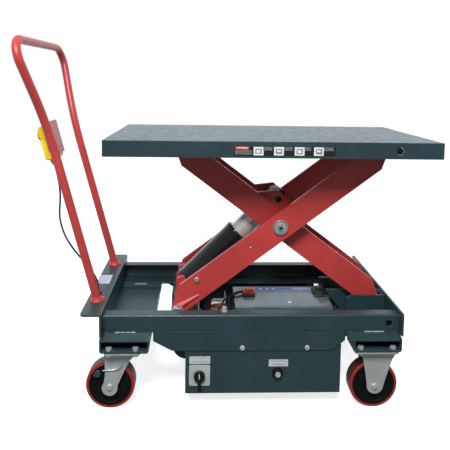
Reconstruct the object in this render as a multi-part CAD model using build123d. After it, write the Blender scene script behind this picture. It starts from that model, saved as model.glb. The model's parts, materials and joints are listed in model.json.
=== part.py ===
from build123d import *
import math
import os

os.makedirs("parts", exist_ok=True)

# Battery-electric mobile scissor lift table, millimetres.
# +X runs from the push handle to the front, +Y to the left of someone
# pushing it, +Z up. The origin is on the floor, midway along and across.

# ---- driving dimensions -------------------------------------------------
TABLE_LENGTH = 1010.0
TABLE_WIDTH = 520.0
TABLE_HEIGHT = 838.0            # top surface, in the stored pose
TABLE_SKIRT = 49.0
TABLE_SHEET = 3.0

CHASSIS_LENGTH = 920.0
CHASSIS_X = -379.98             # outer face of the handle-end plate
CHASSIS_WIDTH = 520.0           # over the end plates
END_TOP = 315.0
END_SHEET = 6.0
FLANGE_DEPTH = 58.0             # horizontal flange that carries the handle
RAIL_Y = 228.0                  # outer face of each side rail
RAIL_TOP = 298.0
RAIL_SHEET = 4.0
RAIL_FLANGE = 35.0
SIDE_BOTTOM = 186.0             # lowest edge of the side rail's deep middle
TRACK_INNER_Y = 139.0
FLOOR_TOP = 230.0
FLOOR_HALF = 125.0
FLOOR_SHEET = 4.0
FLOOR_LIP = 30.0                # depth of the floor plates' folded ends

PIVOT_X = CHASSIS_X + 886.0     # both fixed scissor pivots, one above the other
PIVOT_Z = 271.0
ARM_WIDTH = 82.0
ARM_SHEET = 12.0
ARM_CORNER = 375.0              # middle pivot to the start of the chamfered end
ARM_ANGLE = 36.9                # bars above the horizontal, stored pose
CENTRE_X = PIVOT_X - 329.0
OUTER_ARM_Y = 124.0             # outer face of each outer arm
INNER_ARM_Y = 78.0              # outer face of each inner arm
ROLLER_R = 21.9
GAP = 0.3                       # clearance of a roller over its track

WHEEL_R = 75.0
WHEEL_WIDTH = 42.0
SWIVEL_Y = 201.5
FIXED_Y = 207.5
SWIVEL_X = CHASSIS_X + 67.0     # kingpin of the swivel casters
SWIVEL_TRAIL = 41.0
FIXED_X = CHASSIS_X + 843.5
MOUNT_BOTTOM = 195.0            # underside of the caster mounting channels
MOUNT_SHEET = 6.0
MOUNT_OUTER = 260.0             # open outer edge of the mounting channels
SWIVEL_PITCH = (80.0, 96.0)    # bolt spacing of a swivel caster's plate
FIXED_PITCH = (100.0, 80.0)

HANDLE_TUBE_R = 13.2
HANDLE_HALF = 156.0             # half spacing of the two legs at the bottom
HANDLE_HALF_TOP = 263.0
HANDLE_LEAN = 0.272             # run towards the user for each unit of height
HANDLE_X = CHASSIS_X - 26.0
HANDLE_TOP = 1127.0
HANDLE_SPLAY_Z = 868.0
HANDLE_SPLAY_R = 560.0
HANDLE_CORNER_R = 55.0

PENDANT_Y = -99.0
PENDANT_DEPTH = 40.0
GLAND_OFFSET = -8.0             # cable gland, behind the middle of the control box

BATTERY_SIZE = (333.0, 172.0, 213.0)
BATTERY_X = CHASSIS_X + 417.0
BATTERY_Z = 44.0

BOX_X = CHASSIS_X + 256.0
BOX_LENGTH = 484.0
BOX_Z = 46.0
BOX_TOP = 202.0
BOX_FRONT_Y = -223.7
BOX_DEPTH = 123.0
BOX_SHEET = 2.5
BOX_BOLTS = (431.5, 632.5)      # from the handle-end plate

BARREL_R = 44.5
BARREL_BORE_R = 36.5
RAM_R = 35.0
PIN_R = 12.5
RAM_PIN_R = 11.0                # upper pin of the ram
RAM_EYE_PLAY = 12.0             # extra radius of the ram's eye round its pin
RAM_EYE_R = 29.5
RUN = 0.05                      # radial running clearance of a pin in its bore

# ---- worked-out positions -----------------------------------------------
TRACK_TOP = PIVOT_Z - ROLLER_R - GAP            # surface the lower rollers run on
TABLE_PIVOT_DROP = TABLE_SHEET + ROLLER_R + GAP
CENTRE_Z = (PIVOT_Z + TABLE_HEIGHT - TABLE_PIVOT_DROP) / 2
PIVOT_REACH = math.hypot(PIVOT_X - CENTRE_X, CENTRE_Z - PIVOT_Z)
PIVOT_ANGLE = math.degrees(math.atan2(CENTRE_Z - PIVOT_Z, PIVOT_X - CENTRE_X))
PIVOT_ALONG = PIVOT_REACH * math.cos(math.radians(PIVOT_ANGLE - ARM_ANGLE))
PIVOT_ACROSS = PIVOT_REACH * math.sin(math.radians(PIVOT_ANGLE - ARM_ANGLE))
ROLLER_X = CENTRE_X - (PIVOT_X - CENTRE_X)
TABLE_PIVOT_Z = TABLE_HEIGHT - TABLE_PIVOT_DROP
CHASSIS_END = CHASSIS_X + CHASSIS_LENGTH
TABLE_X = CHASSIS_X + 10.0
TABLE_UNDER = TABLE_HEIGHT - TABLE_SHEET
RAM_EYE_ALONG = -47.5           # upper ram pin, in the inner arm's own axes
RAM_EYE_ACROSS = 62.0
BASE_PIN_X = CHASSIS_X + 248.0
BASE_PIN_Z = 309.0

PARTS = {}


# ---- helpers ------------------------------------------------------------
def block(x0, x1, y0, y1, z0, z1):
    """Box between two corners."""
    middle = Pos((x0 + x1) / 2, (y0 + y1) / 2, (z0 + z1) / 2)
    return middle * Box(abs(x1 - x0), abs(y1 - y0), abs(z1 - z0))


def xz_plane(y):
    """Plane whose local x and y are the world's X and Z, facing -Y."""
    return Plane(origin=(0, y, 0), x_dir=(1, 0, 0), z_dir=(0, -1, 0))


def yz_plane(x):
    """Plane whose local x and y are the world's Y and Z, facing +X."""
    return Plane(origin=(x, 0, 0), x_dir=(0, 1, 0), z_dir=(1, 0, 0))


def plate_xz(sketch, y0, y1):
    """Flat plate: an X-Z outline made solid from y0 to y1."""
    low, high = min(y0, y1), max(y0, y1)
    return extrude(xz_plane(high) * sketch, amount=high - low)


def plate_yz(sketch, x0, x1):
    """Flat plate: a Y-Z outline made solid from x0 to x1."""
    return extrude(yz_plane(x0) * sketch, amount=x1 - x0)


def rod_y(x, z, radius, y0, y1):
    """Round bar along Y."""
    return plate_xz(Pos(x, z) * Circle(radius), y0, y1)


def rod_z(x, y, radius, z0, z1):
    """Round bar along Z."""
    return Pos(x, y, (z0 + z1) / 2) * Cylinder(radius, z1 - z0)


def outline(points):
    """Closed straight-sided face."""
    return make_face(Polyline(*points, close=True))


def rounded(points, radius):
    """Closed face with every corner rounded."""
    face = outline(points)
    return fillet(face.vertices(), radius)


def box_outline(x0, x1, z0, z1):
    """Rectangle between two corners."""
    return Pos((x0 + x1) / 2, (z0 + z1) / 2) * Rectangle(x1 - x0, z1 - z0)


def on_arm(along, across, sign):
    """Point in the stored pose from a bar's own axes.

    sign is +1 for the outer bars, which rise to the front, and -1 for the
    inner ones. across is measured to the bar's upper side.
    """
    angle = math.radians(ARM_ANGLE)
    x = CENTRE_X + along * math.cos(angle) - sign * across * math.sin(angle)
    z = CENTRE_Z + sign * along * math.sin(angle) + across * math.cos(angle)
    return x, z


def sides():
    """The near side (-Y) and the far side (+Y)."""
    return (("near", -1.0), ("far", 1.0))


# ---- chassis ------------------------------------------------------------
def side_rail(side):
    """Pressed channel: deep web, top flange and the lower roller track."""
    x0, x1 = CHASSIS_X + END_SHEET, CHASSIS_END - END_SHEET
    deep0, deep1 = CHASSIS_X + 214.0, CHASSIS_X + 710.0
    shallow0, shallow1 = CHASSIS_X + 157.0, CHASSIS_X + 750.0
    shallow_z = SIDE_BOTTOM + 31.0
    mount_z = TRACK_TOP - RAIL_SHEET
    web = outline([
        (x0, RAIL_TOP), (x1, RAIL_TOP), (x1, mount_z), (shallow1, mount_z),
        (shallow1, shallow_z), (deep1, SIDE_BOTTOM), (deep0, SIDE_BOTTOM),
        (shallow0, shallow_z), (shallow0, mount_z), (x0, mount_z)])
    slots = ((212.0, 355.0), (417.0, 543.0), (602.0, 714.0))
    for start, end in slots:
        web -= box_outline(CHASSIS_X + start, CHASSIS_X + end, TRACK_TOP - 1.0, TRACK_TOP + 1.2)
    web -= Pos(PIVOT_X, PIVOT_Z) * Circle(11.0)
    for x in BOX_BOLTS:
        web -= Pos(CHASSIS_X + x, 194.0) * Circle(4.2)
    rail = plate_xz(web, side * RAIL_Y, side * (RAIL_Y - RAIL_SHEET))
    flange = block(x0, x1, side * (RAIL_Y - RAIL_FLANGE), side * (RAIL_Y - RAIL_SHEET),
                   RAIL_TOP - RAIL_SHEET, RAIL_TOP)
    for x in (296.5, 413.0, 721.0):
        flange -= rod_z(CHASSIS_X + x, side * 201.0, 4.0, RAIL_TOP - 9, RAIL_TOP + 1)
    track = block(x0, x1, side * TRACK_INNER_Y, side * (RAIL_Y - RAIL_SHEET),
                  TRACK_TOP - RAIL_SHEET, TRACK_TOP)
    rail = rail + flange + track
    corner = [e for e in rail.edges().filter_by(Axis.X)
              if abs(abs(e.center().Y) - RAIL_Y) < 0.1 and abs(e.center().Z - RAIL_TOP) < 0.1]
    return fillet(corner, 5.0)


def handle_end_plate():
    """Upright plate with a flange bent outwards, which the handle stands on."""
    half = CHASSIS_WIDTH / 2
    upright = block(CHASSIS_X, CHASSIS_X + END_SHEET, -half, half,
                    TRACK_TOP - RAIL_SHEET, END_TOP)
    upright += block(CHASSIS_X, CHASSIS_X + END_SHEET, -FLOOR_HALF, FLOOR_HALF,
                     FLOOR_TOP - FLOOR_LIP, TRACK_TOP - RAIL_SHEET)
    flange = block(CHASSIS_X - FLANGE_DEPTH, CHASSIS_X + END_SHEET, -half, half,
                   END_TOP - END_SHEET, END_TOP)
    corners = [e for e in flange.edges().filter_by(Axis.Z)
               if e.center().X < CHASSIS_X - FLANGE_DEPTH / 2]
    flange = fillet(corners, 14.0)
    plate = upright + flange
    bend = [e for e in plate.edges().filter_by(Axis.Y)
            if abs(e.center().X - CHASSIS_X - END_SHEET) < 0.1 and e.center().Z > END_TOP - 1]
    plate = fillet(bend, 5.0)
    plate -= rod_z(GROMMET_X, GROMMET_Y, 6.0 + RUN, END_TOP - 20, END_TOP + 1)
    return plate


def front_end_plate():
    """Upright plate that closes the front of the chassis."""
    half = CHASSIS_WIDTH / 2
    plate = block(CHASSIS_END - END_SHEET, CHASSIS_END, -half, half,
                  TRACK_TOP - RAIL_SHEET, END_TOP)
    plate += block(CHASSIS_END - END_SHEET, CHASSIS_END, -FLOOR_HALF, FLOOR_HALF,
                   FLOOR_TOP - FLOOR_LIP, TRACK_TOP - RAIL_SHEET)
    corners = [e for e in plate.edges().filter_by(Axis.X) if e.center().Z > END_TOP - 1]
    return fillet(corners, 8.0)


def caster_channel(side, x0, x1, outer_points, inner_points, rounding):
    """Folded box, open to the outside, that a caster bolts under.

    The two outlines are its end walls and bottom seen from the side; the
    upper sheet slopes down beyond the rail.
    """
    inner, outer = FLOOR_HALF, MOUNT_OUTER
    top = TRACK_TOP - RAIL_SHEET
    lip = top - 9.0
    sheet = MOUNT_SHEET
    cover = outline([(inner, top - sheet), (RAIL_Y, top - sheet), (outer, lip - sheet),
                     (outer, lip), (RAIL_Y, top), (inner, top)])
    envelope = outline([(inner, MOUNT_BOTTOM), (outer, MOUNT_BOTTOM), (outer, lip - 1.0),
                        (RAIL_Y, top - 1.0), (inner, top - 1.0)])
    if side < 0:
        cover = mirror(cover, Plane.YZ)
        envelope = mirror(envelope, Plane.YZ)
    filled = side_outline(outer_points, rounding)
    walls = filled - side_outline(inner_points, rounding - 4.0)
    shell = plate_xz(walls, side * inner, side * outer)
    shell += plate_xz(filled, side * inner, side * (inner + sheet))
    shell &= plate_yz(envelope, x0 - 1.0, x1 + 1.0)
    return shell + plate_yz(cover, x0, x1)


def side_outline(points, rounding):
    """Side outline of a channel, with its lower corners rounded."""
    face = outline(points)
    lowest = min(v.Y for v in face.vertices())
    return fillet([v for v in face.vertices() if v.Y < lowest + 1], rounding)


def swivel_mount(side):
    """Channel over one swivel caster, with upright end walls."""
    x0, x1 = CHASSIS_X, CHASSIS_X + 151.5
    top = TRACK_TOP - RAIL_SHEET
    floor = MOUNT_BOTTOM + MOUNT_SHEET
    outer_points = [(x0, top), (x0, MOUNT_BOTTOM), (x1 - 5.0, MOUNT_BOTTOM), (x1, top - 10.0), (x1, top)]
    inner_points = [(x0 + 4.5, top + 1), (x0 + 4.5, floor), (x1 - 10.0, floor), (x1 - 6.5, top - 10.0),
                    (x1 - 6.5, top + 1)]
    channel = caster_channel(side, x0, x1, outer_points, inner_points, 9.0)
    for x, y in plate_holes(SWIVEL_X, SWIVEL_Y, side, SWIVEL_PITCH):
        channel -= rod_z(x, y, 5.5, MOUNT_BOTTOM - 1, MOUNT_BOTTOM + MOUNT_SHEET + 1)
    return channel


def fixed_mount(side):
    """Channel over one fixed caster; its inner end wall slants under the rail."""
    x0, x1 = CHASSIS_X + 753.0, CHASSIS_X + 917.0
    top = TRACK_TOP - RAIL_SHEET
    floor = MOUNT_BOTTOM + MOUNT_SHEET
    outer_points = [(x0, top), (x0 + 1.5, 232.0), (x0 + 23.0, MOUNT_BOTTOM), (x1, MOUNT_BOTTOM), (x1, top)]
    inner_points = [(x0 + 18.0, top + 1), (x0 + 22.5, floor), (x1 - 5.0, floor), (x1 - 5.0, top + 1)]
    channel = caster_channel(side, x0, x1, outer_points, inner_points, 8.0)
    for x, y in plate_holes(FIXED_X, FIXED_Y, side, FIXED_PITCH):
        channel -= rod_z(x, y, 5.5, MOUNT_BOTTOM - 1, MOUNT_BOTTOM + MOUNT_SHEET + 1)
    return channel


def plate_holes(x, middle, side, pitch):
    """Centres of the four bolts of a caster plate."""
    spots = []
    for sx in (-1, 1):
        for sy in (-1, 1):
            spots.append((x + sx * pitch[0] / 2, side * middle + sy * pitch[1] / 2))
    return spots


def floor_plate(x0, x1):
    """Cross plate between the caster channels of one end, with its two folds."""
    under = FLOOR_TOP - FLOOR_SHEET
    pieces = [block(x0, x1, -FLOOR_HALF, FLOOR_HALF, under, FLOOR_TOP)]
    for start in (x0, x1 - FLOOR_SHEET):
        pieces.append(block(start, start + FLOOR_SHEET, -FLOOR_HALF, FLOOR_HALF,
                            FLOOR_TOP - FLOOR_LIP, under))
    return pieces


def pivot_bracket(side):
    """Pair of upright ears that hold one inner arm's fixed lower pivot."""
    x1 = CHASSIS_END - END_SHEET
    top = 306.0
    web_x = x1 - 6.0
    near_ear = outline([(CHASSIS_X + 790.0, FLOOR_TOP), (x1, FLOOR_TOP), (x1, top),
                        (CHASSIS_X + 802.0, top), (CHASSIS_X + 790.0, top - 12.0)])
    long_ear = outline([(CHASSIS_X + 784.0, FLOOR_TOP), (x1, FLOOR_TOP), (x1, top),
                        (CHASSIS_X + 728.0, top)])
    ears = block(web_x, x1, side * 50.0, side * 103.0, FLOOR_TOP, top)
    for face, y0, y1 in ((long_ear, 50.0, 56.0), (near_ear, 97.0, 103.0)):
        face -= Pos(PIVOT_X, PIVOT_Z) * Circle(PIN_R + RUN)
        ears += plate_xz(face, side * y0, side * y1)
    return ears


# ---- casters ------------------------------------------------------------
def top_plate(x, middle, side, size, pitch):
    """Caster mounting plate with four bolt holes and rounded corners."""
    plate = Pos(x, side * middle, MOUNT_BOTTOM - 3.0) * Box(size[0], size[1], 6.0)
    plate = fillet(plate.edges().filter_by(Axis.Z), 12.0)
    for hx, hy in plate_holes(x, middle, side, pitch):
        plate -= rod_z(hx, hy, 5.5, MOUNT_BOTTOM - 8, MOUNT_BOTTOM + 1)
    return plate


def fork(x_head, x_axle, y, face, head_z, head_length):
    """Two pressed legs and the bridge over the wheel."""
    legs = None
    for s in (-1, 1):
        leg = plate_xz(face, y + s * 27.0, y + s * 31.0)
        legs = leg if legs is None else legs + leg
    bridge = block(x_head - head_length / 2, x_head + head_length / 2, y - 31.0, y + 31.0,
                   head_z - 5.0, head_z)
    whole = legs + bridge
    return whole - rod_y(x_axle, WHEEL_R, 6.0 + RUN, y - 40, y + 40)


def swivel_fork(side):
    """Fork of a swivel caster, trailing behind its kingpin."""
    xa = SWIVEL_X - SWIVEL_TRAIL
    y = side * SWIVEL_Y
    head_z = 176.0
    face = outline([(xa - 15, head_z - 3), (xa + 87, head_z - 3), (xa + 71, 168.5), (xa + 61, 157.0),
                    (xa + 46, 128.0), (xa + 23, 76.0), (xa - 22, 66.0), (xa - 14, 112.0)])
    face += Pos(xa, WHEEL_R - 5) * Circle(24.0)
    body = fork(SWIVEL_X, xa, y, face, head_z, 92.0)
    race = rod_z(SWIVEL_X, y, 37.0, head_z, head_z + 5.0)
    body += race
    return body - rod_z(SWIVEL_X, y, 8.0 + RUN, head_z - 10, head_z + 10)


def swivel_head(side):
    """Upper ball race and kingpin, fixed under the mounting plate."""
    y = side * SWIVEL_Y
    race = rod_z(SWIVEL_X, y, 40.0, 181.5, 189.0)
    race = chamfer(race.edges().group_by(Axis.Z)[0], 2.0)
    pin = rod_z(SWIVEL_X, y, 8.0, 168.0, 181.5)
    nut = Pos(SWIVEL_X, y, 166.0) * extrude(RegularPolygon(12.0, 6), amount=4.6)
    return race + pin + nut


def fixed_fork(side):
    """Pressed fork of a fixed caster, its legs flared under the plate."""
    x = FIXED_X
    head_z = MOUNT_BOTTOM - 6.0
    face = outline([(x - 62, head_z - 1), (x + 72, head_z - 1), (x + 70, 182.0), (x + 60, 171.5),
                    (x + 52, 158.0), (x + 44, 130.0), (x + 33, 94.0), (x + 26, 70.0),
                    (x - 22, 72.0), (x - 28, 111.0), (x - 35, 147.0), (x - 39, 167.0), (x - 58, 181.0)])
    face += Pos(x + 2, WHEEL_R) * Circle(25.5)
    return fork(x, x, side * FIXED_Y, face, head_z, 116.0)


def fixed_caster(side):
    """Mounting plate and fork of a fixed caster, as one piece."""
    return top_plate(FIXED_X, FIXED_Y, side, (138.0, 104.0), FIXED_PITCH) + fixed_fork(side)


def fixed_axle(side):
    """Axle bolt of a fixed caster."""
    return wheel_axle(FIXED_X, FIXED_Y, side)


def swivel_plate(side):
    """Mounting plate of a swivel caster with its upper race and kingpin."""
    return top_plate(SWIVEL_X, SWIVEL_Y, side, (110.0, 116.0), SWIVEL_PITCH) + swivel_head(side)


def wheel_hub(x, middle, side):
    """Moulded wheel centre with a bearing boss on each side."""
    y = side * middle
    half = WHEEL_WIDTH / 2
    profile = [(6.2, -26.0), (18.0, -26.0), (20.0, -half + 4), (56.0, -half + 5),
               (58.0, -half + 1.5), (66.0, -half + 1.5), (66.0, half - 1.5), (58.0, half - 1.5),
               (56.0, half - 5), (20.0, half - 4), (18.0, 26.0), (6.2, 26.0)]
    ring = revolve(Plane.XY * outline(profile), axis=Axis.Y)
    return Pos(x, y, WHEEL_R) * ring


def wheel_tread(x, middle, side):
    """Polyurethane ring with a slightly crowned face."""
    y = side * middle
    half = WHEEL_WIDTH / 2
    path = (Polyline((66.0, -half), (72.5, -half))
            + ThreePointArc((72.5, -half), (74.2, -half + 1.2), (74.8, -half + 4))
            + ThreePointArc((74.8, -half + 4), (WHEEL_R, 0), (74.8, half - 4))
            + ThreePointArc((74.8, half - 4), (74.2, half - 1.2), (72.5, half))
            + Polyline((72.5, half), (66.0, half), (66.0, -half)))
    ring = revolve(Plane.XY * make_face(path), axis=Axis.Y)
    return Pos(x, y, WHEEL_R) * ring


def wheel_axle(x, middle, side):
    """Axle bolt with a domed head and a nut."""
    y = side * middle
    shaft = rod_y(x, WHEEL_R, 6.0, y - 31.0, y + 31.0)
    head = rod_y(x, WHEEL_R, 10.0, y + side * 31.0, y + side * 37.0)
    head = fillet(head.edges().filter_by(GeomType.CIRCLE).sort_by(Axis.Y)[-1 if side > 0 else 0], 4.0)
    nut = plate_xz(Pos(x, WHEEL_R) * RegularPolygon(10.0, 6), y - side * 31.0, y - side * 38.0)
    return shaft + head + nut


def brake_lever(side):
    """Foot brake: a lever hinged in the fork, its shoe just clear of the tread."""
    xa = SWIVEL_X - SWIVEL_TRAIL
    y = side * SWIVEL_Y
    lever = outline([(xa - 13, 166.0), (xa + 4, 168.5), (xa + 6, 162.0), (xa - 4, 156.0),
                     (xa - 18, 153.5), (xa - 24, 157.0), (xa - 21, 163.0)])
    body = plate_xz(lever, y - 20.0, y + 20.0)
    eye = rod_y(xa + 1, 162.5, 5.5, y - 20.0, y + 20.0)
    return body + eye - rod_y(xa + 1, 162.5, 3.0 + RUN, y - 30, y + 30)


def brake_pin(side):
    """Hinge pin of the foot brake, held in the fork's legs."""
    xa = SWIVEL_X - SWIVEL_TRAIL
    y = side * SWIVEL_Y
    return rod_y(xa + 1, 162.5, 3.0, y - 27.0, y + 27.0)


def caster_bolts():
    """Bolts and nuts through the four caster plates."""
    solids = []
    for name, side in sides():
        spots = plate_holes(SWIVEL_X, SWIVEL_Y, side, SWIVEL_PITCH)
        spots += plate_holes(FIXED_X, FIXED_Y, side, FIXED_PITCH)
        for x, y in spots:
            shank = rod_z(x, y, 5.0, MOUNT_BOTTOM - 11.0, MOUNT_BOTTOM + 13.0)
            nut = Pos(x, y, MOUNT_BOTTOM + MOUNT_SHEET) * extrude(RegularPolygon(9.5, 6), amount=8.0)
            head = Pos(x, y, MOUNT_BOTTOM - 12.0) * extrude(RegularPolygon(9.5, 6), amount=6.0)
            solids.append(shank + nut + head)
    return Compound(children=solids)


# ---- handle and pendant -------------------------------------------------
def handle_x(z):
    """X of the handle's leaning plane at a height."""
    return HANDLE_X - HANDLE_LEAN * (z - END_TOP)


def handle_tube():
    """One bent tube: two legs that splay towards the top bar, with foot rings."""
    base = (handle_x(END_TOP), HANDLE_HALF, END_TOP)
    splay = (handle_x(HANDLE_SPLAY_Z), HANDLE_HALF, HANDLE_SPLAY_Z)
    top = (handle_x(HANDLE_TOP), HANDLE_HALF_TOP, HANDLE_TOP)
    points = [base, splay, top]
    points += [(x, -y, z) for x, y, z in reversed(points)]
    rounds = (HANDLE_SPLAY_R, HANDLE_CORNER_R, HANDLE_CORNER_R, HANDLE_SPLAY_R)
    path = leg_path(points, rounds)
    start = Plane(origin=path @ 0, z_dir=path % 0)
    tube = sweep(start * Circle(HANDLE_TUBE_R), path)
    bore = sweep(start * Circle(HANDLE_TUBE_R - 2.0), path)
    tube -= bore
    for name, side in sides():
        ring = Pos(HANDLE_X, side * HANDLE_HALF, END_TOP + 4.5) * Cylinder(20.5, 9.0)
        ring = fillet(ring.edges().group_by(Axis.Z)[-1], 6.0)
        tube += ring - rod_z(HANDLE_X, side * HANDLE_HALF, HANDLE_TUBE_R - 3.0,
                             END_TOP - 1, END_TOP + 12)
    below = block(HANDLE_X - 60, HANDLE_X + 60, -300, 300, END_TOP - 40, END_TOP)
    return tube - below


def leg_path(points, rounds):
    """Straight runs joined by tangent arcs of the given radii."""
    spots = [Vector(*p) for p in points]
    wires = []
    last = spots[0]
    for i in range(1, len(spots) - 1):
        before = (spots[i - 1] - spots[i]).normalized()
        after = (spots[i + 1] - spots[i]).normalized()
        half = math.acos(max(-1.0, min(1.0, before.dot(after)))) / 2
        cut = rounds[i - 1] / math.tan(half)
        a = spots[i] + before * cut
        b = spots[i] + after * cut
        inward = (before + after).normalized()
        middle = spots[i] + inward * (rounds[i - 1] / math.sin(half) - rounds[i - 1])
        wires.append(Line(last, a))
        wires.append(ThreePointArc(a, middle, b))
        last = b
    wires.append(Line(last, spots[-1]))
    return Wire(wires)


def lean_frame(z, y, forward):
    """Local frame on the near leg: local Z along the leg, local X forwards."""
    length = math.hypot(1.0, HANDLE_LEAN)
    up = Vector(-HANDLE_LEAN / length, 0, 1.0 / length)
    ahead = Vector(1.0 / length, 0, HANDLE_LEAN / length)
    origin = Vector(handle_x(z), y, z) + ahead * forward
    return Plane(origin=origin, x_dir=ahead, z_dir=up)


def pendant_frame():
    """Local frame at the middle of the hand control box."""
    return lean_frame(817.0, PENDANT_Y, -2.0 - PENDANT_DEPTH / 2)


def pendant_plate():
    """Flat hanger welded to the near leg, reaching inwards."""
    frame = lean_frame(828.0, -104.0, 0.0)
    plate = frame * Box(4.0, 90.0, 106.0)
    holder = plate - Pos(handle_x(828.0), -HANDLE_HALF, 828.0) * Rot(0, -15.2, 0) * Cylinder(
        HANDLE_TUBE_R - 1.0, 160.0)
    return holder


def pendant_body():
    """Hand control box that hangs on the plate, buttons towards the user."""
    frame = pendant_frame()
    shell = Box(PENDANT_DEPTH, 66.0, 110.0)
    shell = fillet(shell.edges().filter_by(Axis.Z), 7.0)
    shell = fillet(shell.edges().group_by(Axis.Z)[-1], 3.0)
    shell = fillet(shell.edges().group_by(Axis.Z)[0], 3.0)
    for z in (26.0, -4.0, -34.0):
        shell -= Pos(-PENDANT_DEPTH / 2, 0, z) * Rot(0, 90, 0) * Cylinder(11.0, 12.0)
    body = frame * shell
    return body


def pendant_button(z, colour_radius):
    """Push button in its well on the user's face of the control box."""
    frame = pendant_frame()
    cap = Pos(-PENDANT_DEPTH / 2 - 0.3, 0, z) * Rot(0, 90, 0) * Cylinder(colour_radius, 6.0)
    cap = fillet(cap.edges().group_by(Axis.X)[0], 1.6)
    return frame * cap


def stop_button():
    """Mushroom emergency stop at the top of the control box."""
    frame = pendant_frame()
    face = -PENDANT_DEPTH / 2
    stem = Pos(face - 1.0, 0, 26.0) * Rot(0, 90, 0) * Cylinder(7.0, 5.4)
    cap = Pos(face - 7.4, 0, 26.0) * Rot(0, 90, 0) * Cylinder(14.0, 7.5)
    cap = fillet(cap.edges().group_by(Axis.X)[0], 3.0)
    return frame * (stem + cap)


def pendant_gland():
    """Cable gland under the control box."""
    frame = pendant_frame()
    nut = Pos(GLAND_OFFSET, 0, -60.0) * Cylinder(9.5, 10.0)
    tail = Pos(GLAND_OFFSET, 0, -70.0) * Cone(5.0, 8.5, 10.0)
    return frame * (nut + tail)


# The control cable hangs from the gland, swings out beside the leg and comes
# back down to a grommet in the flange. Each point's X is from the chassis end.
CABLE_R = 3.0
GROMMET_X = CHASSIS_X - 32.0
GROMMET_Y = -110.0
CABLE_POINTS = [
    (-153.0, -102.0, 630.0),
    (-159.0, -103.0, 573.0),
    (-144.0, -104.0, 512.0),
    (-112.0, -106.0, 460.0),
    (-73.0, -108.0, 417.0),
    (-44.0, -109.5, 379.0),
    (-32.0, -110.0, 346.0),
    (-32.0, -110.0, 321.0),
]


def pendant_cable():
    """Round control cable: short runs joined by the largest arcs that fit."""
    frame = pendant_frame()
    spots = [frame.from_local_coords(Vector(GLAND_OFFSET, 0, down)) for down in (-75.0, -125.0)]
    spots += [Vector(CHASSIS_X + x, y, z) for x, y, z in CABLE_POINTS]
    radii = []
    for i in range(1, len(spots) - 1):
        before = spots[i] - spots[i - 1]
        after = spots[i + 1] - spots[i]
        turn = math.radians(before.get_angle(after))
        shorter = min(before.length, after.length)
        radii.append(0.45 * shorter / math.tan(turn / 2))
    print("cable radii", [round(r, 1) for r in radii])
    path = FilletPolyline(*spots, radius=radii)
    start = Plane(origin=path @ 0, z_dir=path % 0)
    cable = sweep(start * Circle(CABLE_R), path)
    print("cable length", round(path.length, 1), "volume share",
          round(cable.volume / (math.pi * CABLE_R ** 2 * path.length), 4))
    return cable


def cable_grommet():
    """Grommet that the control cable enters the chassis through."""
    ring = rod_z(GROMMET_X, GROMMET_Y, 10.0, END_TOP, END_TOP + 6.0)
    ring = fillet(ring.edges().group_by(Axis.Z)[-1], 2.5)
    sleeve = rod_z(GROMMET_X, GROMMET_Y, 6.0, END_TOP - 10.0, END_TOP + 1.0)
    return ring + sleeve


# ---- power pack ---------------------------------------------------------
def electrics_box():
    """Open-topped box of welded sheets, bolted behind the side rail."""
    x0, x1 = BOX_X, BOX_X + BOX_LENGTH
    y0, y1 = BOX_FRONT_Y, BOX_FRONT_Y + BOX_DEPTH
    t = BOX_SHEET
    front = block(x0, x1, y0, y0 + t, BOX_Z, BOX_TOP)
    front = fillet([e for e in front.edges().filter_by(Axis.Z) if e.center().Y < y0 + 0.1], 2.0)
    front -= rod_y(CHASSIS_X + 300.0, 104.0, 9.0, y0 - 5, y0 + 5)
    front -= rod_y(CHASSIS_X + 542.5, 111.0, 14.0, y0 - 5, y0 + 5)
    for x in BOX_BOLTS:
        front -= rod_y(CHASSIS_X + x, 194.0, 4.2, y0 - 5, y0 + 5)
    back = block(x0, x1, y1 - t, y1, BOX_Z, BOX_TOP)
    bottom = block(x0, x1, y0 + t, y1 - t, BOX_Z, BOX_Z + t)
    pieces = [front, back, bottom]
    for start in (x0, x1 - t):
        pieces.append(block(start, start + t, y0 + t, y1 - t, BOX_Z + t, BOX_TOP))
    return pieces


def switch_plate():
    """Square face plate of the main switch."""
    x, z = CHASSIS_X + 300.5, 105.0
    face = rounded([(x - 32.5, z - 33), (x + 32.5, z - 33), (x + 32.5, z + 33), (x - 32.5, z + 33)], 5.0)
    face -= Pos(CHASSIS_X + 300.0, 104.0) * Circle(9.0)
    return plate_xz(face, BOX_FRONT_Y - 2.5, BOX_FRONT_Y)


def switch_body():
    """Contact block of the main switch, behind the panel."""
    x = CHASSIS_X + 300.0
    y = BOX_FRONT_Y + 2.5
    body = block(x - 24, x + 24, y, y + 34, 80, 128)
    return body - rod_y(x, 104.0, 8.0 + RUN, y - 1, y + 18)


def switch_knob():
    """Rotary main-switch knob with its key lever, and its spindle."""
    x, z = CHASSIS_X + 300.0, 104.0
    y = BOX_FRONT_Y - 2.8
    disc = rod_y(x, z, 17.5, y, y - 9.0)
    disc = fillet(disc.edges().filter_by(GeomType.CIRCLE).sort_by(Axis.Y)[0], 2.0)
    lever = block(x - 5.0, x + 5.0, y - 16.0, y - 3.0, z - 43.0, z + 13.0)
    lever = fillet(lever.edges().filter_by(Axis.Y), 3.5)
    spindle = rod_y(x, z, 8.0, y, y + 18.0)
    return disc + lever + spindle


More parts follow.
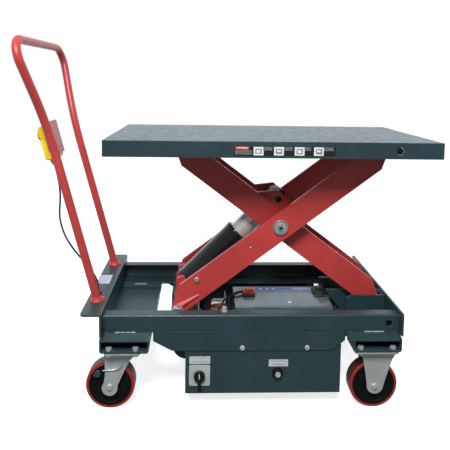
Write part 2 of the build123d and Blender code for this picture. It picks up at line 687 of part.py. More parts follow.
def charge_socket():
    """Round charging inlet with a threaded collar."""
    x, z = CHASSIS_X + 542.5, 111.0
    y = BOX_FRONT_Y
    flange = rod_y(x, z, 18.0, y, y - 3.0)
    collar = rod_y(x, z, 13.8, y + 22.0, y - 10.0)
    well = rod_y(x, z, 10.5, y - 2.0, y - 11.0)
    socket = flange + collar - well
    for angle in (90, 210, 330):
        px = x + 5.0 * math.cos(math.radians(angle))
        pz = z + 5.0 * math.sin(math.radians(angle))
        socket += rod_y(px, pz, 1.3, y - 1.5, y - 8.0)
    return socket


def charger():
    """Finned battery charger on the box floor."""
    x0 = CHASSIS_X + 470.0
    y0 = BOX_FRONT_Y + 14.0
    z0 = BOX_Z + 2.5
    body = block(x0, x0 + 210.0, y0, y0 + 92.0, z0, z0 + 34.0)
    for i in range(9):
        fin_y = y0 + 4.0 + i * 10.0
        body += block(x0, x0 + 210.0, fin_y, fin_y + 3.5, z0 + 34.0, z0 + 46.0)
    return body


def box_bolts():
    """Dome-head bolts and nuts that hold the box to the rail."""
    solids = []
    for x in (431.5, 632.5):
        head = rod_y(CHASSIS_X + x, 194.0, 8.2, -RAIL_Y, -RAIL_Y - 4.5)
        head = fillet(head.edges().filter_by(GeomType.CIRCLE).sort_by(Axis.Y)[0], 3.5)
        shank = rod_y(CHASSIS_X + x, 194.0, 4.0, -RAIL_Y, -RAIL_Y + 16.0)
        nut = plate_xz(Pos(CHASSIS_X + x, 194.0) * RegularPolygon(7.5, 6),
                       BOX_FRONT_Y + 2.5, BOX_FRONT_Y + 9.0)
        solids.append(head + shank + nut)
    return solids


def battery_case():
    """Starter-style battery with a raised lid."""
    lx, ly, lz = BATTERY_SIZE
    x, z = BATTERY_X, BATTERY_Z
    case = block(x, x + lx, -ly / 2, ly / 2, z, z + lz - 24.0)
    case = fillet(case.edges().filter_by(Axis.Z), 5.0)
    lid = block(x, x + lx, -ly / 2, ly / 2, z + lz - 23.0, z + lz)
    lid = fillet(lid.edges().filter_by(Axis.Z), 5.0)
    lid = fillet(lid.edges().group_by(Axis.Z)[-1], 2.5)
    neck = block(x + 3, x + lx - 3, -ly / 2 + 3, ly / 2 - 3, z + lz - 25.0, z + lz - 22.0)
    ribs = block(x + 14, x + lx - 14, -ly / 2 - 0.8, ly / 2 + 0.8, z + 40.0, z + 52.0)
    return case + lid + neck + ribs


def terminal_boot(x, y, length, width):
    """Rubber boot over a battery terminal and its cable lug."""
    z = BATTERY_Z + BATTERY_SIZE[2]
    boot = block(x - length / 2, x + length / 2, y - width / 2, y + width / 2, z, z + 13.0)
    boot = fillet(boot.edges().filter_by(Axis.Z), 9.0)
    return fillet(boot.edges().group_by(Axis.Z)[-1], 4.0)


def battery_tray():
    """Sheet pan under the battery, hung from the side rails by four straps."""
    lx, ly, lz = BATTERY_SIZE
    x, z = BATTERY_X - 3.0, BATTERY_Z
    wide = ly / 2 + 3.5
    t = 3.0
    pieces = [block(x - t, x + lx + 9, -wide - t, wide + t, z - 4, z)]
    for start in (x - t, x + lx + 6):
        pieces.append(block(start, start + t, -wide - t, wide + t, z, z + 45))
    for name, side in sides():
        for start in (x + 30.0, x + 270.0):
            pieces.append(block(start, start + 30, side * wide, side * (wide + t), z, 208.0))
            pieces.append(block(start, start + 30, side * (wide + t), side * (RAIL_Y - RAIL_SHEET),
                                205.0, 208.0))
    return pieces


def pump_motor():
    """Direct-current pump motor, a finned can with a domed end."""
    x, z = CHASSIS_X + 257.0, 129.0
    can = rod_y(x, z, 50.0, -90.0, 40.0)
    can = fillet(can.edges().filter_by(GeomType.CIRCLE), 4.0)
    cap = rod_y(x, z, 22.0, -90.0, -97.0)
    for zz in (-60.0, 10.0):
        can += rod_y(x, z, 51.2, zz, zz + 6.0)
    return can + cap


def valve_block():
    """Drilled aluminium manifold between the motor and the tank."""
    x, z = CHASSIS_X + 257.0, 129.0
    body = block(x - 48, x + 48, 40.0, 92.0, z - 42, z + 42)
    body = fillet(body.edges().filter_by(Axis.Y), 3.0)
    coil = rod_z(x + 22, 66.0, 17.0, z + 42.0, z + 88.0)
    plug = rod_z(x - 26, 66.0, 9.0, z + 42.0, z + 52.0)
    return body + coil + plug


def oil_tank():
    """Hydraulic oil tank with a filler cap."""
    x, z = CHASSIS_X + 257.0, 129.0
    tank = rod_y(x, z, 58.0, 92.0, 212.0)
    tank = fillet(tank.edges().filter_by(GeomType.CIRCLE).sort_by(Axis.Y)[-1], 10.0)
    cap = rod_z(x, 150.0, 14.0, z + 50.0, z + 70.0)
    return tank + cap


def pump_bracket():
    """Post and arm that hang the pump unit from the far rail's track."""
    x, z = CHASSIS_X + 257.0, 129.0
    top = TRACK_TOP - RAIL_SHEET
    post = block(x - 60, x - 48, 45.0, 88.0, z - 42, top)
    arm = block(x - 60, x - 48, 88.0, TRACK_INNER_Y + 40, TRACK_TOP - 10, top)
    return [post, arm]


def contactor():
    """Starter contactor on its own little panel beside the battery."""
    x = CHASSIS_X + 366.0
    panel = block(x + 22, x + 25, 10.0, 96.0, 120.0, 236.0)
    foot = block(x + 22, BATTERY_X - 6.3, 88.0, 96.0, 120.0, 124.0)
    can = Pos(x, 50.0, 205.0) * Rot(0, 90, 0) * Cylinder(21.0, 44.0)
    top = Pos(x - 24, 50.0, 205.0) * Rot(0, 90, 0) * Cylinder(15.0, 6.0)
    return panel + foot + can + top


def rail_stud():
    """Short threaded stud with a collar on the near rail."""
    x, y = CHASSIS_X + 375.6, -201.0
    foot = rod_z(x, y, 9.0, RAIL_TOP, RAIL_TOP + 4.0)
    stem = rod_z(x, y, 6.5, RAIL_TOP + 4.0, RAIL_TOP + 15.0)
    return foot + fillet(stem.edges().group_by(Axis.Z)[-1], 2.0)


# ---- scissor ------------------------------------------------------------
def arm_face(sign):
    """Outline of one bar in the stored pose, with its three pivot bores."""
    w = ARM_WIDTH / 2
    along, across = PIVOT_ALONG, PIVOT_ACROSS
    nose = w - across
    reach = math.hypot(along - ARM_CORNER, across + w)
    slope = math.atan2(across + w, along - ARM_CORNER) - math.asin(nose / reach)
    touch = (along + nose * math.sin(slope), across - nose * math.cos(slope))
    corners = [(-ARM_CORNER, w), (along, w), touch,
               (ARM_CORNER, -w), (-along, -w), (-touch[0], -touch[1])]
    flip = 1.0 if sign > 0 else -1.0
    face = outline([on_arm(flip * a, b, sign) for a, b in corners])
    for a in (-1.0, 1.0):
        x, z = on_arm(flip * a * along, a * across, sign)
        face += Pos(x, z) * Circle(nose)
    return face


def outer_arm(side):
    """Outer bar: rollers at the bottom rear, table pivot at the top front."""
    face = arm_face(1)
    face -= Pos(CENTRE_X, CENTRE_Z) * Circle(PIN_R)
    face -= Pos(ROLLER_X, PIVOT_Z) * Circle(PIN_R)
    face -= Pos(PIVOT_X, TABLE_PIVOT_Z) * Circle(PIN_R + RUN)
    x, z = on_arm(-117.0, 3.0, 1)
    face -= Pos(x, z) * Circle(3.2)
    arm = plate_xz(face, side * OUTER_ARM_Y, side * (OUTER_ARM_Y - ARM_SHEET))
    return arm


def inner_arm(side):
    """Inner bar with the plate that carries the ram's upper pin."""
    face = arm_face(-1)
    face -= Pos(CENTRE_X, CENTRE_Z) * Circle(PIN_R + 3.0)
    face -= Pos(PIVOT_X, PIVOT_Z) * Circle(PIN_R + RUN)
    face -= Pos(ROLLER_X, TABLE_PIVOT_Z) * Circle(PIN_R)
    arm = plate_xz(face, side * INNER_ARM_Y, side * (INNER_ARM_Y - ARM_SHEET))
    return arm


def ram_lug(side):
    """Plate welded inside an inner arm, above the middle pivot."""
    corners = [(-124.0, 24.0), (-116.0, 41.0), (-66.0, 89.0), (-10.0, 78.0), (24.0, 40.0), (14.0, 24.0)]
    face = outline([on_arm(a, b, -1) for a, b in corners])
    face = fillet(face.vertices(), 7.0)
    x, z = on_arm(RAM_EYE_ALONG, RAM_EYE_ACROSS, -1)
    face -= Pos(x, z) * Circle(RAM_PIN_R)
    y = INNER_ARM_Y - ARM_SHEET
    return plate_xz(face, side * y, side * (y - 10.0))


def inner_cross_tube():
    """Round tube that ties the two inner bars together."""
    x, z = on_arm(78.0, 0.0, -1)
    y = INNER_ARM_Y - ARM_SHEET
    tube = rod_y(x, z, 25.0, -y, y)
    return tube - rod_y(x, z, 20.0, -y - 1, y + 1)


def inner_end_tube():
    """Tube between the inner bars beside their upper rollers."""
    x, z = on_arm(-330.0, 0.0, -1)
    y = INNER_ARM_Y - ARM_SHEET
    tube = rod_y(x, z, 17.0, -y, y)
    return tube - rod_y(x, z, 13.0, -y - 1, y + 1)


def ram_pin():
    """Pin across the two upper plates, through the ram's eye."""
    x, z = on_arm(RAM_EYE_ALONG, RAM_EYE_ACROSS, -1)
    y = INNER_ARM_Y - ARM_SHEET
    return rod_y(x, z, RAM_PIN_R, -y + 3, y - 3)


def lower_cross_tube():
    """Tube across the outer bars on the roller axis, with two base ears."""
    y = OUTER_ARM_Y - ARM_SHEET
    tube = rod_y(ROLLER_X, PIVOT_Z, 17.0, -y, y)
    ear = outline([(ROLLER_X - 9, PIVOT_Z + 76), (ROLLER_X + 14, PIVOT_Z + 84),
                   (BASE_PIN_X + 24, BASE_PIN_Z + 4), (BASE_PIN_X + 18, BASE_PIN_Z - 18),
                   (ROLLER_X + 10, PIVOT_Z - 20), (ROLLER_X - 10, PIVOT_Z - 20)])
    ear = fillet(ear.vertices(), 6.0)
    ear -= Pos(BASE_PIN_X, BASE_PIN_Z) * Circle(PIN_R)
    for name, side in sides():
        tube += plate_xz(ear, side * 50.0, side * 60.0)
    return tube - rod_y(ROLLER_X, PIVOT_Z, PIN_R, -y - 1, y + 1)


def base_pin():
    """Pin that the barrel's base swings on."""
    return rod_y(BASE_PIN_X, BASE_PIN_Z, PIN_R, -60.0, 60.0)


def roller_shaft():
    """Shaft through the outer bars that carries the two lower rollers."""
    shaft = rod_y(ROLLER_X, PIVOT_Z, PIN_R, -172.0, 172.0)
    for name, side in sides():
        shaft += rod_y(ROLLER_X, PIVOT_Z, 16.0, side * 124.0, side * 141.0)
    return shaft


def centre_pin(side):
    """Middle pivot: headed pin with a spacer between the bars and a big washer."""
    y = OUTER_ARM_Y
    pin = rod_y(CENTRE_X, CENTRE_Z, PIN_R, side * 58.0, side * y)
    spacer = rod_y(CENTRE_X, CENTRE_Z, 22.0, side * (INNER_ARM_Y + 0.4), side * (y - ARM_SHEET))
    washer = rod_y(CENTRE_X, CENTRE_Z, 24.5, side * y, side * (y + 6.0))
    washer = chamfer(washer.edges().filter_by(GeomType.CIRCLE).sort_by(Axis.Y)[-1 if side > 0 else 0], 1.0)
    head = rod_y(CENTRE_X, CENTRE_Z, 9.5, side * (y + 6), side * (y + 11.0))
    socket = plate_xz(Pos(CENTRE_X, CENTRE_Z) * RegularPolygon(5.5, 6), side * (y + 5.0), side * (y + 12.0))
    retainer = rod_y(CENTRE_X, CENTRE_Z, 20.0, side * 58.0, side * (INNER_ARM_Y - ARM_SHEET - 0.4))
    return pin + spacer + washer + head + retainer - socket


def centre_bush(side):
    """Bronze bush pressed into an inner bar's middle bore."""
    y0, y1 = side * INNER_ARM_Y, side * (INNER_ARM_Y - ARM_SHEET)
    bush = rod_y(CENTRE_X, CENTRE_Z, PIN_R + 3.0, y0, y1)
    return bush - rod_y(CENTRE_X, CENTRE_Z, PIN_R + RUN, y0 - side * 20, y1 + side * 20)


def arm_bolt(side):
    """Dome-head locking bolt near the lower end of an outer bar."""
    x, z = on_arm(-320.0, 22.0, 1)
    y = side * OUTER_ARM_Y
    head = rod_y(x, z, 9.5, y, y + side * 5.5)
    return fillet(head.edges().filter_by(GeomType.CIRCLE).sort_by(Axis.Y)[-1 if side > 0 else 0], 4.5)


def roller(x, z, y0, y1):
    """Steel roller with rounded rims and a running bore."""
    low, high = min(y0, y1), max(y0, y1)
    body = rod_y(x, z, ROLLER_R, low, high)
    body = fillet(body.edges().filter_by(GeomType.CIRCLE), 1.5)
    return body - rod_y(x, z, PIN_R + RUN, low - 1, high + 1)


def chassis_pivot_pin(side):
    """Pin of an inner bar's fixed lower pivot, held in the chassis ears."""
    pin = rod_y(PIVOT_X, PIVOT_Z, PIN_R, side * 48.0, side * 103.0)
    collar = rod_y(PIVOT_X, PIVOT_Z, 17.0, side * 44.0, side * 50.0)
    return pin + collar


def upper_roller_stub(side):
    """Stub axle of an upper roller, welded through the inner bar."""
    y = INNER_ARM_Y
    stub = rod_y(ROLLER_X, TABLE_PIVOT_Z, PIN_R, side * (y - ARM_SHEET), side * (y + 25.0))
    shoulder = rod_y(ROLLER_X, TABLE_PIVOT_Z, 15.0, side * y, side * (y + 2.0))
    return stub + shoulder


# ---- table --------------------------------------------------------------
def table_top():
    """Sheet top with a welded skirt all round, pierced at the upper pivots."""
    x0, x1 = TABLE_X, TABLE_X + TABLE_LENGTH
    half = TABLE_WIDTH / 2
    t = TABLE_SHEET
    low = TABLE_HEIGHT - TABLE_SKIRT
    sheet = block(x0, x1, -half, half, TABLE_UNDER, TABLE_HEIGHT)
    sheet = fillet(sheet.edges().filter_by(Axis.Z), 2.5)
    sheet = fillet(sheet.edges().group_by(Axis.Z)[-1], 1.5)
    pieces = [sheet]
    for name, side in sides():
        skirt = block(x0, x1, side * (half - t), side * half, low, TABLE_UNDER)
        outer = [e for e in skirt.edges().filter_by(Axis.Z) if abs(e.center().Y) > half - 0.1]
        skirt = fillet(outer, 2.5)
        pieces.append(skirt - rod_y(PIVOT_X, TABLE_PIVOT_Z, 11.5, side * (half - 10), side * (half + 5)))
    for start in (x0, x1 - t):
        pieces.append(block(start, start + t, -half + t, half - t, low, TABLE_UNDER))
    return pieces


def table_bracket(side):
    """Pair of ears under the table for one upper fixed pivot."""
    ears = None
    low = TABLE_PIVOT_Z
    for y0, y1 in ((96.0, 104.0), (132.0, 140.0)):
        face = box_outline(PIVOT_X - 26, PIVOT_X + 26, low, TABLE_UNDER)
        face += Pos(PIVOT_X, low) * Circle(22.0)
        face -= Pos(PIVOT_X, low) * Circle(PIN_R)
        ear = plate_xz(face, side * y0, side * y1)
        ears = ear if ears is None else ears + ear
    return ears


def table_pivot_pin(side):
    """Pin of an upper fixed pivot."""
    pin = rod_y(PIVOT_X, TABLE_PIVOT_Z, PIN_R, side * 96.0, side * 142.0)
    return pin + rod_y(PIVOT_X, TABLE_PIVOT_Z, 17.0, side * 140.0, side * 145.0)


def roller_guide(side):
    """Angle under the table that keeps an upper roller in line."""
    x0, x1 = TABLE_X + 14.0, TABLE_X + 392.0
    leg = block(x0, x1, side * 107.0, side * 130.0, TABLE_UNDER - 3.0, TABLE_UNDER)
    web = block(x0, x1, side * 107.0, side * 110.0, TABLE_PIVOT_Z - 18.0, TABLE_UNDER)
    return leg + web


# ---- lifting ram --------------------------------------------------------
def ram_frame():
    """Frame on the ram's line, local Z from the base pin to the upper pin."""
    x, z = on_arm(RAM_EYE_ALONG, RAM_EYE_ACROSS, -1)
    along = Vector(x - BASE_PIN_X, 0, z - BASE_PIN_Z)
    return Plane(origin=(BASE_PIN_X, 0, BASE_PIN_Z), x_dir=(0, 1, 0), z_dir=along), along.length


def ram_tube(frame, radius, start, end):
    """Round length of the ram between two distances from the base pin."""
    return frame * (Pos(0, 0, (start + end) / 2) * Cylinder(radius, end - start))


BARREL_END = 258.0              # base pin to the end of the barrel's gland


def barrel():
    """Barrel with its welded base, the eye and the hose port."""
    frame, length = ram_frame()
    tube = ram_tube(frame, BARREL_R, 12.0, BARREL_END - 16.0)
    tube -= ram_tube(frame, BARREL_BORE_R, 46.0, BARREL_END)
    eye = rod_y(BASE_PIN_X, BASE_PIN_Z, 24.0, -30.0, 30.0)
    tube += eye
    port = frame * (Pos(0, 0, 60.0) * Rot(0, 90, 0) * Cylinder(9.0, 2 * BARREL_R + 14.0))
    port &= frame * (Pos(40.0, 0, 60.0) * Box(80.0, 40.0, 40.0))
    tube += port - ram_tube(frame, BARREL_BORE_R, 46.0, BARREL_END)
    return tube - rod_y(BASE_PIN_X, BASE_PIN_Z, PIN_R + RUN, -50, 50)


def gland_nut():
    """Threaded gland at the mouth of the barrel."""
    frame, length = ram_frame()
    ring = ram_tube(frame, BARREL_R + 1.5, BARREL_END - 16.0, BARREL_END)
    ring = fillet(ring.edges().filter_by(GeomType.CIRCLE), 3.0)
    return ring - ram_tube(frame, RAM_R + RUN, BARREL_END - 20.0, BARREL_END + 5)


def ram_rod():
    """Chromed ram with its eye, which keeps play around the upper pin."""
    frame, length = ram_frame()
    rod = ram_tube(frame, RAM_R, 130.0, length - 26.0)
    x, z = on_arm(RAM_EYE_ALONG, RAM_EYE_ACROSS, -1)
    rod += rod_y(x, z, RAM_EYE_R, -26.0, 26.0)
    rod += frame * (Pos(0, 0, length - 18.0) * Box(52.0, 44.0, 24.0))
    return rod - rod_y(x, z, RAM_PIN_R + RAM_EYE_PLAY, -40, 40)


# ---- assembly -----------------------------------------------------------
def group(pieces):
    """Separate solids that share one node."""
    return Compound(children=pieces)


def build_side(name, side):
    """Pieces that have one node on each side."""
    xs = SWIVEL_X - SWIVEL_TRAIL
    upper = INNER_ARM_Y
    PARTS[f"side_rail_{name}"] = side_rail(side)
    PARTS[f"swivel_fork_{name}"] = group([swivel_fork(side), wheel_axle(xs, SWIVEL_Y, side), brake_pin(side)])
    PARTS[f"brake_lever_{name}"] = brake_lever(side)
    PARTS[f"swivel_wheel_{name}"] = group([wheel_hub(xs, SWIVEL_Y, side), wheel_tread(xs, SWIVEL_Y, side)])
    PARTS[f"fixed_wheel_{name}"] = group([wheel_hub(FIXED_X, FIXED_Y, side),
                                          wheel_tread(FIXED_X, FIXED_Y, side)])
    PARTS[f"outer_arm_{name}"] = outer_arm(side)
    PARTS[f"inner_arm_{name}"] = inner_arm(side) + ram_lug(side)
    PARTS[f"lower_roller_{name}"] = roller(ROLLER_X, PIVOT_Z, side * 144.0, side * 168.0)
    PARTS[f"upper_roller_{name}"] = roller(ROLLER_X, TABLE_PIVOT_Z,
                                           side * (upper + 2.5), side * (upper + 24.0))


def build_pairs():
    """Identical pieces of both sides that share a node."""
    pairs = {
        "swivel_mounts": [swivel_mount],
        "fixed_mounts": [fixed_mount],
        "chassis_pivots": [pivot_bracket, chassis_pivot_pin],
        "swivel_plates": [swivel_plate],
        "fixed_forks": [fixed_caster, fixed_axle],
        "centre_pins": [centre_pin, arm_bolt],
        "centre_bushes": [centre_bush],
        "table_pivots": [table_bracket, table_pivot_pin],
        "roller_guides": [roller_guide],
    }
    for node, makers in pairs.items():
        PARTS[node] = group([make(side) for make in makers for name, side in sides()])


def build_single():
    """Pieces that occur once."""
    stubs = [upper_roller_stub(side) for name, side in sides()]
    positive = terminal_boot(CHASSIS_X + 472.0, 24.0, 48.0, 40.0)
    negative = terminal_boot(CHASSIS_X + 724.0, 34.0, 44.0, 40.0)
    rear_floor = floor_plate(CHASSIS_X + END_SHEET, CHASSIS_X + 148.0)
    front_floor = floor_plate(CHASSIS_X + 766.0, CHASSIS_END - END_SHEET)
    PARTS["handle_end_plate"] = handle_end_plate()
    PARTS["front_end_plate"] = front_end_plate()
    PARTS["floor_plates"] = group(rear_floor + front_floor)
    PARTS["caster_bolts"] = caster_bolts()
    PARTS["push_handle"] = handle_tube() + pendant_plate()
    PARTS["pendant_box"] = pendant_body()
    PARTS["pendant_up_button"] = pendant_button(-4.0, 9.0)
    PARTS["pendant_down_button"] = pendant_button(-34.0, 9.0)
    PARTS["pendant_stop_button"] = stop_button()
    PARTS["pendant_gland"] = pendant_gland()
    PARTS["pendant_cable"] = pendant_cable()
    PARTS["cable_grommet"] = cable_grommet()
    PARTS["electrics_box"] = group(electrics_box())
    PARTS["main_switch_base"] = switch_plate() + switch_body()
    PARTS["main_switch_knob"] = switch_knob()
    PARTS["charge_socket"] = charge_socket()
    PARTS["battery_charger"] = charger()
    PARTS["rail_fittings"] = group(box_bolts() + [rail_stud()])
    PARTS["battery"] = battery_case()
    PARTS["battery_boots"] = group([positive, negative])
    PARTS["power_pack_brackets"] = group(battery_tray() + pump_bracket())
    PARTS["pump_motor"] = pump_motor()
    PARTS["valve_block"] = valve_block()
    PARTS["oil_tank"] = oil_tank()
    PARTS["contactor"] = contactor()
    PARTS["inner_cross_tubes"] = group([inner_cross_tube(), inner_end_tube()])
    PARTS["inner_arm_pins"] = group([ram_pin()] + stubs)
    PARTS["lower_cross_tube"] = lower_cross_tube()
    PARTS["lower_pins"] = group([base_pin(), roller_shaft()])
    PARTS["table_top"] = group(table_top())
    PARTS["ram_barrel"] = barrel()
    PARTS["ram_gland"] = gland_nut()
    PARTS["ram_rod"] = ram_rod()


for side_name, side_sign in sides():
    build_side(side_name, side_sign)
build_pairs()
build_single()
for node, solid in PARTS.items():
    export_step(solid, f"parts/{node}.step")
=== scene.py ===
import json
import math

import bmesh
import bpy
from mathutils import Matrix, Vector


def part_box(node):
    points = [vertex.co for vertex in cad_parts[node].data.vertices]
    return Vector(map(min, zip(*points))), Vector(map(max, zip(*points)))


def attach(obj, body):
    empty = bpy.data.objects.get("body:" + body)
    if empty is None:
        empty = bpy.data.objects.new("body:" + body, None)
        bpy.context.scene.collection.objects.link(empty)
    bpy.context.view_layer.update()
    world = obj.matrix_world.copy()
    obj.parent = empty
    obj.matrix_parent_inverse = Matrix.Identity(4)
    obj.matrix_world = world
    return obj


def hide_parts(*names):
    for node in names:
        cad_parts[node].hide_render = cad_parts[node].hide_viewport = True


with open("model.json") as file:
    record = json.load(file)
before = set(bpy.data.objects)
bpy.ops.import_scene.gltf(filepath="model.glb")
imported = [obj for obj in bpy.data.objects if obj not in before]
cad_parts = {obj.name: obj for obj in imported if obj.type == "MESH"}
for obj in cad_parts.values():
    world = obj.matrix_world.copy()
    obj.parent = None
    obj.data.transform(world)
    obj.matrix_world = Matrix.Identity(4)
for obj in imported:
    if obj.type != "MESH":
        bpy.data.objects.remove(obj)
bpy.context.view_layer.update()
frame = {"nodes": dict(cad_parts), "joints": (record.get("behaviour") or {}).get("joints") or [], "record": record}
nodes = frame["nodes"]
MM = 0.001


# ---- shader helpers -------------------------------------------------------
def new_material(name):
    """Material with an empty node tree, its Principled shader and its output."""
    material = bpy.data.materials.new(name)
    material.use_nodes = True
    tree = material.node_tree
    tree.nodes.clear()
    output = tree.nodes.new("ShaderNodeOutputMaterial")
    shader = tree.nodes.new("ShaderNodeBsdfPrincipled")
    tree.links.new(shader.outputs["BSDF"], output.inputs["Surface"])
    return material, tree, shader


def noise(tree, scale, detail=3.0, rough=0.5):
    """Noise in the object's own metres."""
    place = tree.nodes.new("ShaderNodeTexCoord")
    node = tree.nodes.new("ShaderNodeTexNoise")
    node.inputs["Scale"].default_value = scale
    node.inputs["Detail"].default_value = detail
    node.inputs["Roughness"].default_value = rough
    tree.links.new(place.outputs["Object"], node.inputs["Vector"])
    return node.outputs["Fac"]


def ramp(tree, value, low, high, out_low, out_high):
    """Value mapped from one range to another, and held at its ends."""
    node = tree.nodes.new("ShaderNodeMapRange")
    node.inputs["From Min"].default_value = low
    node.inputs["From Max"].default_value = high
    node.inputs["To Min"].default_value = out_low
    node.inputs["To Max"].default_value = out_high
    tree.links.new(value, node.inputs["Value"])
    return node.outputs["Result"]


def mix_colour(tree, amount, first, second):
    """Colour mixed from first to second; each is a colour or a socket."""
    node = tree.nodes.new("ShaderNodeMix")
    node.data_type = "RGBA"
    tree.links.new(amount, node.inputs["Factor"])
    for index, colour in ((6, first), (7, second)):
        if hasattr(colour, "is_output"):
            tree.links.new(colour, node.inputs[index])
        else:
            node.inputs[index].default_value = (*colour, 1.0)
    return node.outputs[2]


def arithmetic(tree, operation, first, second):
    """One math node; each input is a number or a socket."""
    node = tree.nodes.new("ShaderNodeMath")
    node.operation = operation
    for index, value in ((0, first), (1, second)):
        if hasattr(value, "is_output"):
            tree.links.new(value, node.inputs[index])
        else:
            node.inputs[index].default_value = value
    return node.outputs[0]


def edge_mask(tree, radius):
    """1 on an outside or inside edge and 0 on a flat, and the rounded normal."""
    bevel = tree.nodes.new("ShaderNodeBevel")
    bevel.samples = 6
    bevel.inputs["Radius"].default_value = radius
    geometry = tree.nodes.new("ShaderNodeNewGeometry")
    dot = tree.nodes.new("ShaderNodeVectorMath")
    dot.operation = "DOT_PRODUCT"
    tree.links.new(bevel.outputs["Normal"], dot.inputs[0])
    tree.links.new(geometry.outputs["Normal"], dot.inputs[1])
    return ramp(tree, dot.outputs["Value"], 0.995, 0.80, 0.0, 1.0), bevel.outputs["Normal"]


def add_bump(tree, shader, height, distance, strength, normal=None):
    """Bump on top of a normal."""
    bump = tree.nodes.new("ShaderNodeBump")
    bump.inputs["Distance"].default_value = distance
    bump.inputs["Strength"].default_value = strength
    tree.links.new(height, bump.inputs["Height"])
    if normal is not None:
        tree.links.new(normal, bump.inputs["Normal"])
    tree.links.new(bump.outputs["Normal"], shader.inputs["Normal"])


# ---- materials ------------------------------------------------------------
EDGE_WEAR_AND_HIGHLIGHT = 0.0012               # metres of edge that is paler, partly from wear and partly a painted highlight: sheet metal, then small parts
FINE_EDGE = 0.0006


def paint(name, colour, edge_wear_and_highlight, rough=0.34, coat=0.04):
    """Sprayed paint: orange peel, faint dust, and paler edges that are partly scuffed thin paint and partly a
    painted highlight.
    """
    material, tree, shader = new_material(name)
    mask, normal = edge_mask(tree, EDGE_WEAR_AND_HIGHLIGHT)
    cloud = ramp(tree, noise(tree, 6.0, 4.0, 0.6), 0.35, 0.65, 0.0, 1.0)
    dust = ramp(tree, noise(tree, 90.0, 6.0, 0.7), 0.52, 0.80, 0.0, 0.30)
    dark = tuple(c * 0.86 for c in colour)
    base = mix_colour(tree, cloud, dark, tuple(min(1.0, c * 1.10) for c in colour))
    pale = tuple(c * 0.9 + 0.03 for c in colour)
    base = mix_colour(tree, arithmetic(tree, "MULTIPLY", dust, 0.35), base, pale)
    # Paler edge colour: scuffed thin paint, and a painted highlight on rounded edges.
    scuffs = ramp(tree, noise(tree, 38.0, 5.0, 0.65), 0.42, 0.62, 0.15, 1.0)
    base = mix_colour(tree, arithmetic(tree, "MULTIPLY", mask, scuffs), base, edge_wear_and_highlight)
    tree.links.new(base, shader.inputs["Base Color"])
    tree.links.new(ramp(tree, noise(tree, 45.0, 5.0, 0.6), 0.3, 0.7, rough - 0.05, rough + 0.09),
                   shader.inputs["Roughness"])
    shader.inputs["Specular IOR Level"].default_value = 0.50
    shader.inputs["Coat Weight"].default_value = coat
    shader.inputs["Coat Roughness"].default_value = 0.25
    add_bump(tree, shader, noise(tree, 420.0, 2.0, 0.5), 0.00025, 0.25, normal)
    return material


def metal(name, colour, rough=0.3, stain=0.15, grain=300.0, metallic=1.0):
    """Bare or plated metal: fine grain, soft stains, and rounded edges painted brighter as a highlight."""
    material, tree, shader = new_material(name)
    mask, normal = edge_mask(tree, FINE_EDGE)
    cloud = ramp(tree, noise(tree, 22.0, 5.0, 0.6), 0.35, 0.68, 0.0, 1.0)
    dull = tuple(c * (1 - stain) for c in colour)
    base = mix_colour(tree, cloud, colour, dull)
    # Edges painted brighter: a painted highlight.
    bright = tuple(min(1.0, c * 1.15) for c in colour)
    base = mix_colour(tree, mask, base, bright)
    tree.links.new(base, shader.inputs["Base Color"])
    shader.inputs["Metallic"].default_value = metallic
    tree.links.new(ramp(tree, noise(tree, grain, 4.0, 0.6), 0.3, 0.7, rough - 0.08, rough + 0.1),
                   shader.inputs["Roughness"])
    add_bump(tree, shader, noise(tree, grain, 3.0, 0.5), 0.0001, 0.2, normal)
    return material


def plastic(name, colour, rough=0.4, grain=900.0, depth=0.25, lift=0.06, specular=0.5):
    """Moulded plastic or rubber: fine texture, and edges painted paler as a highlight."""
    material, tree, shader = new_material(name)
    mask, normal = edge_mask(tree, FINE_EDGE)
    cloud = ramp(tree, noise(tree, 30.0, 4.0, 0.6), 0.35, 0.65, 0.0, 1.0)
    dark = tuple(c * 0.88 for c in colour)
    base = mix_colour(tree, cloud, dark, tuple(min(1.0, c * 1.08) for c in colour))
    # Paler edges: a painted highlight.
    pale = tuple(min(1.0, c + lift) for c in colour)
    base = mix_colour(tree, arithmetic(tree, "MULTIPLY", mask, 0.5), base, pale)
    tree.links.new(base, shader.inputs["Base Color"])
    tree.links.new(ramp(tree, noise(tree, 160.0, 4.0, 0.6), 0.3, 0.7, rough - 0.06, rough + 0.08),
                   shader.inputs["Roughness"])
    shader.inputs["Specular IOR Level"].default_value = specular
    add_bump(tree, shader, noise(tree, grain, 3.0, 0.6), 0.00012, depth, normal)
    return material


